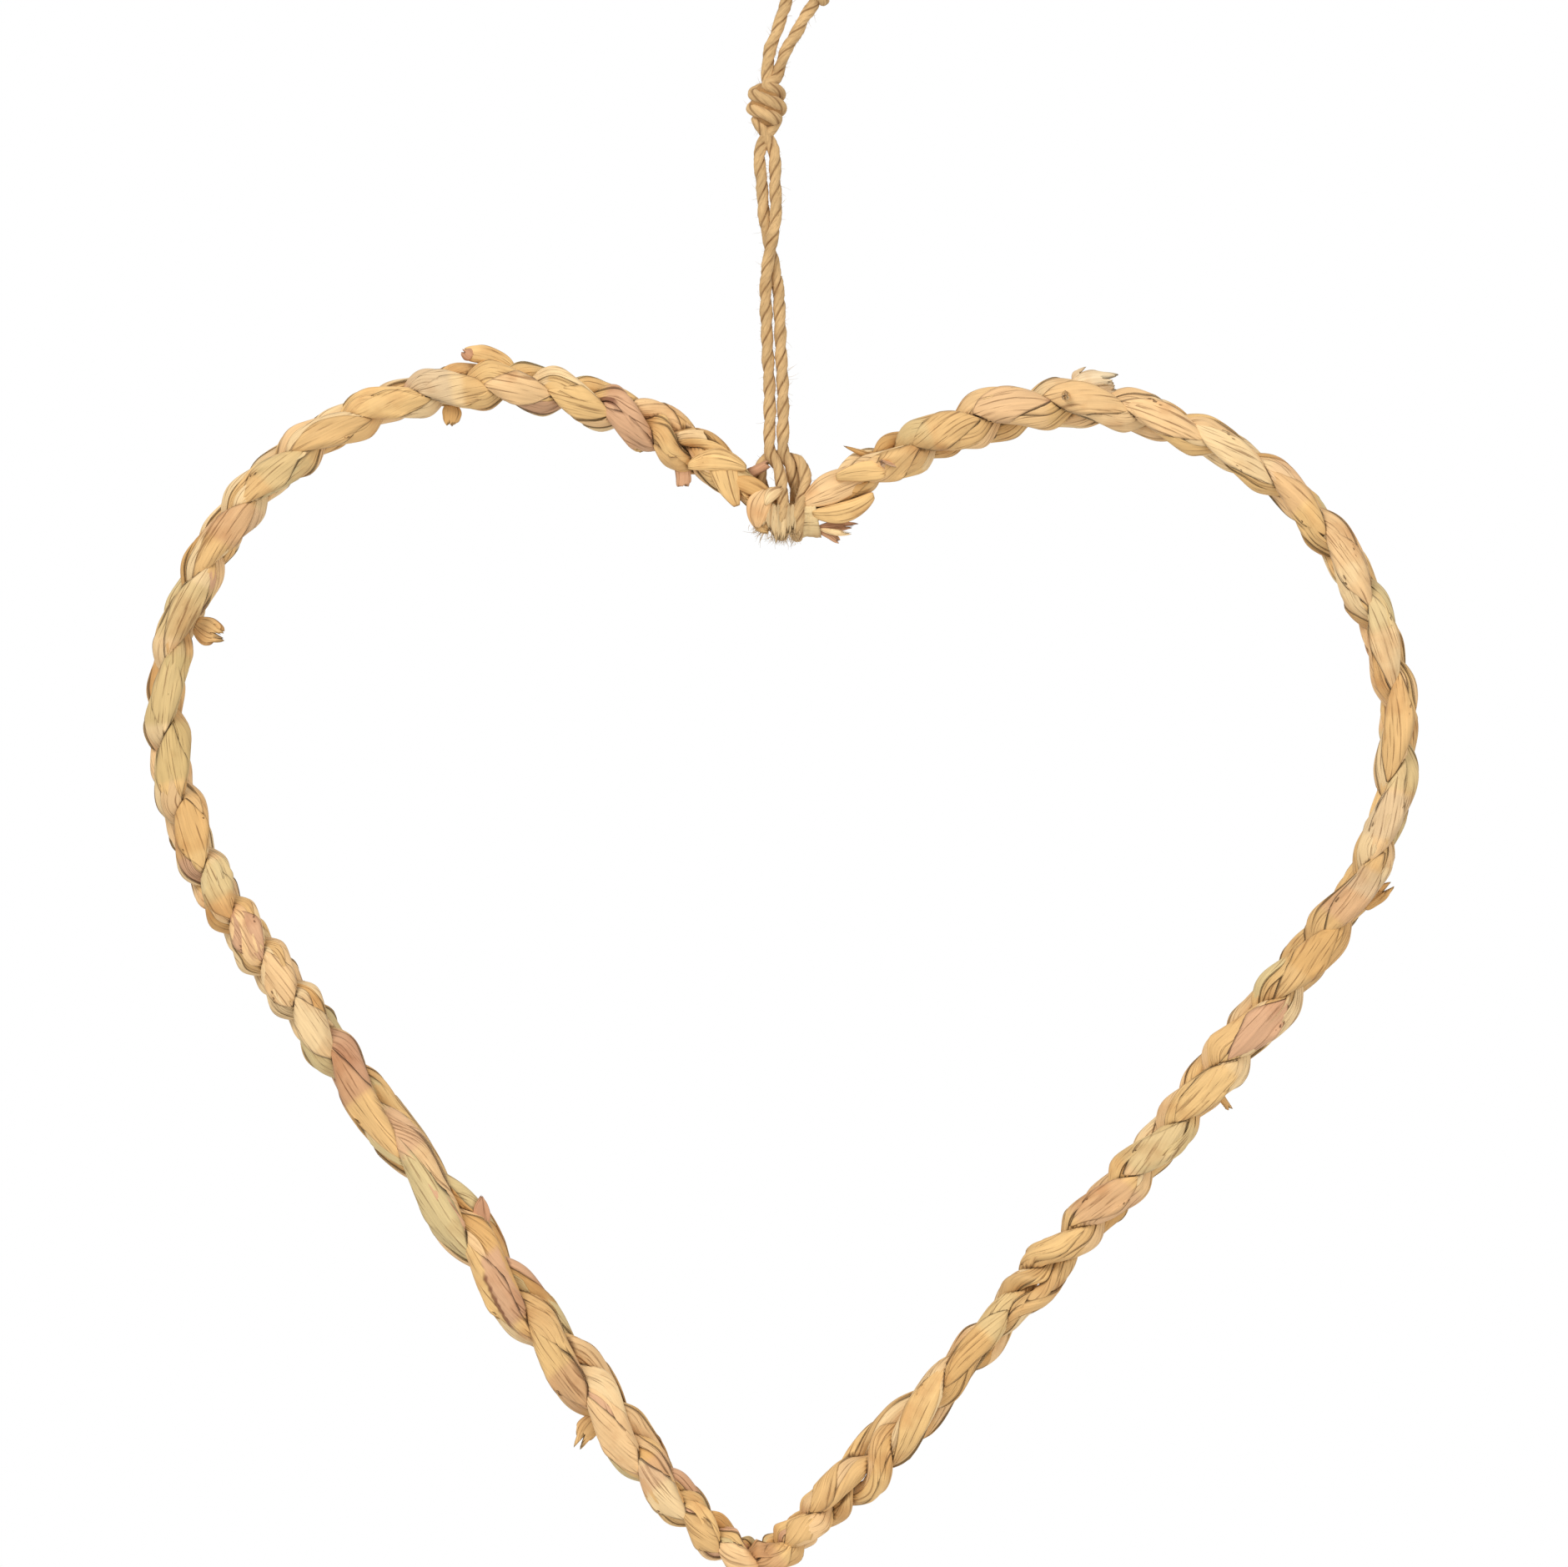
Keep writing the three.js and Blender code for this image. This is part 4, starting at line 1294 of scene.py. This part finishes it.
@dataclass
class Twine:
    """Two-ply jute: one cord from the joint, up and over the loop, and back to the joint."""

    diameter: float = 2.0
    lay: float = 8.4
    sides: int = 30
    step: float = 0.28
    knot_radius: float = 2.55
    knot_turns: float = 1.25
    knot_height: float = 6.4
    core_radius: float = 2.75
    core_height: float = 7.4
    hair_count: int = 2600
    hair_radius: float = 0.035
    hair_root: float = 0.8
    line: Line = field(init=False)

    def __post_init__(self) -> None:
        """Joins the route's parts, with the knot's turns worked out round its centre."""
        route = np.vstack([
            FIRST_HITCH, self._leg(-1), self._knot_turns(0.5), [(x, 0.0, z) for x, z in LOOP],
            self._knot_turns(0.0)[::-1], self._leg(1)[::-1], SECOND_HITCH])
        self.line = Line(smooth_line(route / MM, 24))

    @staticmethod
    def _leg(side: int) -> np.ndarray:
        """One leg upwards: the two lie side by side and change places once by half a turn."""
        x, z = np.array(LEGS).T
        low, high = LEG_CROSSING
        turn = np.pi * soft_step(z, low, high)
        return np.stack([x + side * LEG_GAP * np.cos(turn), side * LEG_GAP * np.sin(turn), z], 1)

    def _knot_turns(self, start: float) -> np.ndarray:
        """Turns round the knot's middle: a helix that swells at half its height."""
        count = 11
        share = np.linspace(0, 1, count)
        angle = TURN * (start + self.knot_turns * share)
        swell = self.knot_radius * (0.55 + 0.45 * np.sin(np.pi * share) ** 0.6) * MM
        x = KNOT_CENTRE[0] + swell * np.cos(angle)
        y = KNOT_CENTRE[1] - swell * 0.8 * np.sin(angle)
        z = KNOT_CENTRE[2] + self.knot_height * MM * (share - 0.5)
        return np.stack([x, y, z], 1)

    def skin(self, line: Line, radius: float, seed: int) -> Skin:
        """The cord's surface round a line.

        At angle a the radius is the outline of two plies side by side, which is fullest
        where a lines up with the lay's own angle and falls into a groove between the plies;
        the lay turns once in each lay length, and fine ribs follow it.
        """
        count = int(line.length / self.step)
        s = np.linspace(0, line.length, count)
        centre = line.at(s)
        run = unit(np.gradient(centre, axis=0))
        side = self._steady_side(run)
        up = np.cross(run, side)
        a = np.arange(self.sides) / self.sides * TURN
        lay = TURN * s[:, None] / self.lay
        across = np.cos(a[None] - lay)
        full = 0.84 + 0.24 * np.abs(across) ** 0.8
        wander = 1.5 * Ripples(seed + 2, 5, 30)(s)[:, None]
        ribs = 0.035 * np.sin(5 * a[None] - 4 * lay + 2 * wander) \
            + 0.03 * np.sin(11 * a[None] - 8 * lay + seed + wander) \
            + 0.02 * np.sin(17 * a[None] - 15 * lay - wander)
        swell = 1 + 0.05 * Ripples(seed, 4, 20)(s)[:, None]
        r = radius * swell * (full + ribs)
        points = round_line(centre, side, up, r, a)
        # Painted shade: darker in the groove between the plies and in the hollows between the
        # ribs.
        painted_groove_shade = soft_step(np.abs(across), 0.34, 0.05) * 0.8 \
            + 0.35 * soft_step(ribs, -0.02, -0.07)
        tone = 1 + 0.07 * Ripples(seed + 1, 3, 25)(s)[:, None, None]
        tint = Jute.CORD.linear * tone * np.ones(points.shape)
        around = (1.1 * a[None] - 0.6 * lay) * radius
        return Skin(points, tint, painted_groove_shade, s, around)

    @staticmethod
    def _steady_side(run: np.ndarray) -> np.ndarray:
        """A sideways direction carried along the line with no twist of its own."""
        side = np.empty_like(run)
        now = unit(np.cross(run[0], (0.0, 1.0, 0.0)))
        for i, heading in enumerate(run):
            now = now - heading * (now @ heading)
            now /= np.linalg.norm(now)
            side[i] = now
        return side

    def build(self, finish: bpy.types.Material) -> list:
        """Makes the cord, the little tie at the top, the knot's core, and the loose hairs along
        the cord.
        """
        skin = self.skin(self.line, 0.5 * self.diameter, 5)
        cord, tie, core, fuzz = (
            make_piece(name, skins, finish, "jute", "hanging_twine") for name, skins in (
                ("twine", [skin]), ("twine_tie", self._tie()),
                ("twine_knot_core", [self._core()]), ("twine_fuzz", self._fuzz())))
        count = int(self.line.length / self.step)
        path = self.line.at(np.linspace(0, self.line.length, count)) * MM
        return [cord, tie, core, fuzz]

    def _tie(self) -> list:
        """Two turns of the same twine round the loop's right leg."""
        share = np.linspace(0, 1, 15)
        angle = TURN * 1.7 * share
        middle = np.array([4.2, 0.0, -22.8])
        lean = unit(np.array([0.45, 0.0, 1.0]))
        side = unit(np.cross(lean, FRONT))
        swing = 1.45
        points = (middle + lean * (share[:, None] - 0.5) * 3.6
                  + side * swing * np.cos(angle)[:, None]
                  + FRONT * swing * np.sin(angle)[:, None])
        return [self.skin(Line(smooth_line(points, 16)), 0.85, 9)]

    def _core(self) -> Skin:
        """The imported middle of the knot: a lumpy barrel, wider at half its height."""
        rows, sides = 26, 36
        share, a = ring_grid(rows, sides)
        swell = self.core_radius * np.sin(np.pi * (0.06 + 0.88 * share)) ** 0.6
        lumps = 1 + 0.07 * np.sin(3 * a + 7 * share) + 0.05 * np.sin(5 * a - 9 * share)
        r = swell * lumps
        centre = np.array(KNOT_CENTRE) / MM
        points = np.stack([centre[0] + r * np.cos(a), centre[1] + 0.8 * r * np.sin(a),
                           centre[2] + self.core_height * (share - 0.5) + 0 * a], axis=-1)
        # The core is painted darker all over, as shade in the middle of the knot.
        tint = np.broadcast_to(Jute.CORE.linear, points.shape)
        return Skin(points, tint, np.full(points.shape[:2], 0.25), share[:, 0] * 8,
                    a * 2.5 * np.ones((rows, 1)))

    def _fuzz(self) -> list:
        """Hairs that stand off the cord, drawn evenly along it with seeded directions."""
        rng = np.random.default_rng(21)
        count = self.hair_count
        s = rng.uniform(2, self.line.length - 2, count)
        roots = self.line.at(s)
        run = self.line.heading(s)
        out = unit(rng.normal(size=(count, 3)))
        out = unit(out - run * dot(out, run)[:, None])
        lengths = rng.gamma(2.0, 0.30, count)
        headings = unit(out + run * rng.uniform(-1.6, 1.6, count)[:, None])
        return hairs(rng, roots + out * self.hair_root, headings, lengths, self.hair_radius,
                     Jute.HAIR)


def hairs(rng: np.random.Generator, roots: np.ndarray, headings: np.ndarray,
          lengths: np.ndarray, radius: float, colour: Jute,
          curl: float = 0.5) -> list:
    """Fine tapering hairs: each is a line that bends sideways with the square of its run.

    Args:
        rng: the seeded source of their bends and tones.
        roots: where they start.
        headings: which way they leave.
        lengths: how long they are.
        radius: their radius at the root.
        colour: their colour.
        curl: how far they bend, as a share of their length.

    Returns:
        One skin for each hair.
    """
    rows, sides = 6, 3
    u = np.linspace(0, 1, rows)[:, None]
    a = np.arange(sides) / sides * TURN
    skins = []
    for root, heading, length in zip(roots, headings, lengths):
        sway = rng.normal(size=3) * curl
        line = root + length * (heading * u + (sway - heading * (sway @ heading)) * u ** 2 * 0.5)
        run = unit(np.gradient(line, axis=0))
        side = unit(np.cross(run, unit(rng.normal(size=3))))
        up = np.cross(run, side)
        r = radius * (1 - 0.75 * u)
        points = round_line(line, side, up, r, a)
        tint = np.broadcast_to(colour.linear * rng.uniform(0.75, 1.1), points.shape)
        skins.append(Skin(points, tint, np.zeros((rows, sides)), u[:, 0] * length,
                          np.broadcast_to(a * radius, (rows, sides)).copy()))
    return skins


# ---------- the joint ----------

# Locks of frayed fibre: top and foot across, then the heights of both, and how far before
# the heart's plane, all in millimetres.
LOCKS = [
    (-5.2, -5.6, -113.0, -116.8, 2.2), (-4.4, -4.3, -112.4, -117.6, 2.6),
    (-3.5, -3.4, -112.6, -118.6, 2.9), (-2.6, -2.9, -113.2, -118.9, 2.9),
    (-1.9, -1.7, -112.2, -118.2, 2.8), (-1.0, -1.0, -112.6, -117.7, 2.9),
    (-0.2, -0.5, -113.2, -117.3, 2.6),
]
# Tufts of hair: root, heading, length and count.
TUFTS = [
    ((-1.2, -2.8, -117.8), (0.0, -0.2, -1.0), 1.5, 80),
    ((-3.4, -2.6, -117.6), (-0.1, -0.2, -1.0), 1.6, 90),
    ((-6.2, -1.6, -116.6), (-0.7, -0.2, -0.9), 1.7, 60),
    ((-3.2, -3.0, -113.6), (0.1, -0.6, -1.0), 1.3, 60),
]


@dataclass
class Joint:
    """What closes the heart at the cleft: a husk band, and frayed ends under the twine."""

    rows: int = 40
    sides: int = 72
    band_place: float = 2.1
    band_reach: float = 1.45
    band_flare: float = 0.75
    wrap_start: float = -6.4
    wrap_length: float = 8.6
    wrap_radius: float = 2.35
    wrap_height: float = -114.6
    lock_width: float = 1.15
    end_radius: float = 0.05

    def band(self, finish: bpy.types.Material) -> bpy.types.Object:
        """The husk band: a sleeve of folded leaf, flared where it meets the plait.

        Its section is an oval from the frame's own box, with two leaf edges that step round
        it and pleats that run across it.
        """
        low, high = (np.array(corner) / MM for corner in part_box("husk_binding"))
        middle, half = (low + high) / 2, (high - low) / 2
        u, a = ring_grid(self.rows, self.sides)
        flare = 1 + 0.06 * (2 * u - 1) ** 2 + 0.04 * np.sin(3 * a + 1)
        fold = 0.30 * (0.5 - np.mod(a / TURN - 0.62 + 0.06 * u, 1)) \
            + 0.22 * (0.5 - np.mod(a / TURN - 0.93 - 0.1 * u, 1))
        pleats = 0.05 * np.sin(13 * u + a) + 0.04 * np.sin(23 * u - a)
        r_y = half[1] * flare + fold + pleats
        r_z = half[2] * 1.0 * flare + fold + pleats
        reach = self.band_reach - self.band_flare * np.sin(a)
        x = self.band_place + (2 * u - 1) * reach
        z = r_z * np.sin(a)
        points = np.stack([x + 0 * z, middle[1] - r_y * np.cos(a), middle[2] + z + 0 * u], -1)
        # Painted shade: darker towards both ends of the band, where it meets the plait.
        edge = soft_step(np.abs(2 * u - 1), 0.75, 1.0) * np.ones_like(a)
        tint = Leaf.GREEN.linear * (1 + 0.05 * np.sin(5 * a + u))[..., None]
        tint = 0.5 * tint + 0.5 * Leaf.PALE.linear
        skin = Skin(points, tint, edge * 0.5, u[:, 0] * 4, a * 3.4 * np.ones((self.rows, 1)))
        return make_piece("husk_band", [skin.flipped()], finish, "husk", "husk_binding")

    def wrap(self, finish: bpy.types.Material) -> bpy.types.Object:
        """The leaf ends inside the joint: a ribbed bundle that the twine closes on."""
        u, a = ring_grid(self.rows, self.sides)
        x = self.wrap_start + self.wrap_length * u
        size = self.wrap_radius + 0.25 * np.sin(np.pi * u) + 0.5 * (1 - u) ** 2
        ribs = 0.16 * np.sin(7 * a + 2 * u) + 0.09 * np.sin(15 * a - 4 * u)
        r = size + ribs
        z = self.wrap_height - 0.6 * np.sin(np.pi * u) + 1.6 * (1 - u) ** 2
        points = np.stack([x + 0 * a, -r * 0.95 * np.cos(a), z + r * np.sin(a)], -1)
        tint = Leaf.TAN.linear * np.ones(points.shape)
        # Painted shade: darker all over inside the joint, and more on one flank of each rib.
        painted_shade = 0.35 + 0.3 * np.sin(7 * a + 2 * u - 1.5)
        skin = Skin(points, tint, np.clip(painted_shade, 0, 1), u[:, 0] * 9,
                    a * 3 * np.ones((self.rows, 1)))
        return make_piece("joint_leaf_ends", [skin.flipped()], finish, "husk", "husk_binding")

    def frayed(self, finish: bpy.types.Material) -> bpy.types.Object:
        """The twine's own cut ends, frayed into tufts below the joint."""
        rng = np.random.default_rng(33)
        skins = []
        for number, (top, foot, high, low, before) in enumerate(LOCKS):
            for split in (-0.3, 0.3):
                lock = Fold("lock", (top + split, high + 0.2 * split),
                            (foot + 1.4 * split, low + rng.uniform(-0.3, 0.5)), self.lock_width,
                            before + 0.3 * abs(number % 3 - 1), Leaf.PALE, 0.25 * split, 0.6,
                            0.2, 0.35, dome=0.45, back=0.8)
                skin = lock.skin(30, 20)
                skins.append(replace(skin, tint=skin.tint * rng.uniform(0.74, 0.94)))
        for root, heading, length, count in TUFTS:
            roots = np.array(root) + rng.normal(size=(count, 3)) * (0.9, 0.4, 0.6)
            headings = unit(np.array(heading) + rng.normal(size=(count, 3)) * 0.25)
            lengths = length * rng.uniform(0.4, 1.15, count)
            skins += hairs(rng, roots, headings, lengths, self.end_radius, Jute.END, 0.7)
        return make_piece("frayed_twine_ends", skins, finish, "jute", "hanging_twine")


# ---------- the studio ----------

@dataclass
class Studio:
    """A camera straight in front, a white sky, soft lamps and a small pale floor."""

    centre: tuple = (-0.0022, -0.161)
    distance: float = 1.2
    view_width: float = 0.2727
    sensor: float = 36.0
    sky_tone: tuple = (1.0, 0.985, 0.96, 1)
    sky_strength: float = 0.62
    lamp_tone: tuple = (1.0, 0.97, 0.93)
    lamp_aim: tuple = (0, 0, -0.19)
    # Name, place, width and watts.
    lamps: tuple = (("key", (-0.5, -0.9, 0.55), 0.5, 7.5), ("fill", (0.8, -0.9, -0.05), 0.8, 3.0))
    floor_depth: float = 0.36
    floor_radius: float = 0.5
    floor_hole: float = 0.001

    def camera(self) -> None:
        """Sets the camera level with the middle of the heart and square on to it."""
        data = bpy.data.cameras.new("camera")
        data.sensor_width = self.sensor
        data.lens = self.sensor * self.distance / self.view_width
        data.clip_start, data.clip_end = 0.01, 20.0
        made = bpy.data.objects.new("camera", data)
        made.location = (self.centre[0], -self.distance, self.centre[1])
        made.rotation_euler = (np.pi / 2, 0, 0)
        bpy.context.scene.collection.objects.link(made)
        bpy.context.scene.camera = made

    def light(self) -> None:
        """A white sky gives the even light, and two big lamps give the leaf its form."""
        scene = bpy.context.scene
        scene.view_settings.view_transform = "Standard"
        world = bpy.data.worlds.new("sky")
        scene.world = world
        world.use_nodes = True
        tree = world.node_tree
        tree.nodes.clear()
        seen = tree.nodes.new("ShaderNodeLightPath")
        shown = tree.nodes.new("ShaderNodeBackground")
        shown.inputs["Color"].default_value = (1, 1, 1, 1)
        lighting = tree.nodes.new("ShaderNodeBackground")
        lighting.inputs["Color"].default_value = self.sky_tone
        lighting.inputs["Strength"].default_value = self.sky_strength
        mix = tree.nodes.new("ShaderNodeMixShader")
        out = tree.nodes.new("ShaderNodeOutputWorld")
        tree.links.new(seen.outputs["Is Camera Ray"], mix.inputs[0])
        tree.links.new(lighting.outputs[0], mix.inputs[1])
        tree.links.new(shown.outputs[0], mix.inputs[2])
        tree.links.new(mix.outputs[0], out.inputs[0])
        for name, place, size, power in self.lamps:
            lamp = bpy.data.lights.new(name, "AREA")
            lamp.size = size
            lamp.energy = power
            lamp.color = self.lamp_tone
            made = bpy.data.objects.new(name, lamp)
            made.location = place
            aim = Vector(self.lamp_aim) - Vector(place)
            made.rotation_euler = aim.to_track_quat("-Z", "Y").to_euler()
            scene.collection.objects.link(made)

    def floor(self) -> None:
        """A round pale floor below the heart, which fades out towards its rim."""
        rings, sides = 24, 96
        share, a = ring_grid(rings, sides)
        r = self.floor_radius * (self.floor_hole + (1 - self.floor_hole) * share)
        depth = np.full((rings, sides), -self.floor_depth)
        points = np.stack([r * np.cos(a), r * np.sin(a), depth], -1)
        mesh = bpy.data.meshes.new("floor")
        mesh.from_pydata(points.reshape(-1, 3), [], tube_faces(rings, sides, 0).tolist())
        piece = bpy.data.objects.new("floor", mesh)
        bpy.context.scene.collection.objects.link(piece)
        g = Graph("pale_floor")
        place = g.node("ShaderNodeTexCoord", {}, {}).outputs["Object"]
        axes = g.node("ShaderNodeSeparateXYZ", {}, {0: place}).outputs
        x, y = Value(g, axes[0]), Value(g, axes[1])
        away = (x * x + y * y) ** 0.5
        fade = away.ramp(self.floor_radius * 0.5, self.floor_radius * 0.98)
        pale = g.node("ShaderNodeBsdfPrincipled", {}, {
            "Base Color": (0.88, 0.88, 0.87, 1), "Roughness": 0.9})
        clear = g.node("ShaderNodeBsdfTransparent", {}, {})
        mixed = g.node("ShaderNodeMixShader", {}, {0: fade, 1: pale.outputs[0],
                                                   2: clear.outputs[0]})
        g.node("ShaderNodeOutputMaterial", {}, {"Surface": mixed.outputs[0]})
        mesh.materials.append(g.material)


def main() -> None:
    """Builds the scene piece by piece."""
    logging.basicConfig(level=logging.INFO, format="%(message)s")
    studio = Studio()
    studio.camera()
    jute = JuteFinish().material()
    made = Twine().build(jute)
    leaf = LeafFinish().material()
    plait = Plait()
    LOG.info("the plait's line is %.0f mm long", plait.line.length)
    made += plait.build(leaf)
    made += [end.build(plait, leaf) for end in LOOSE_ENDS]
    made += [fold.build(leaf) for fold in FOLDS]
    joint = Joint()
    made += [joint.band(leaf), joint.wrap(leaf), joint.frayed(jute)]
    for piece in made:
        LOG.info("%s: %d faces", piece.name, len(piece.data.polygons))
    studio.light()
    studio.floor()


if __name__ == "__main__":
    main()
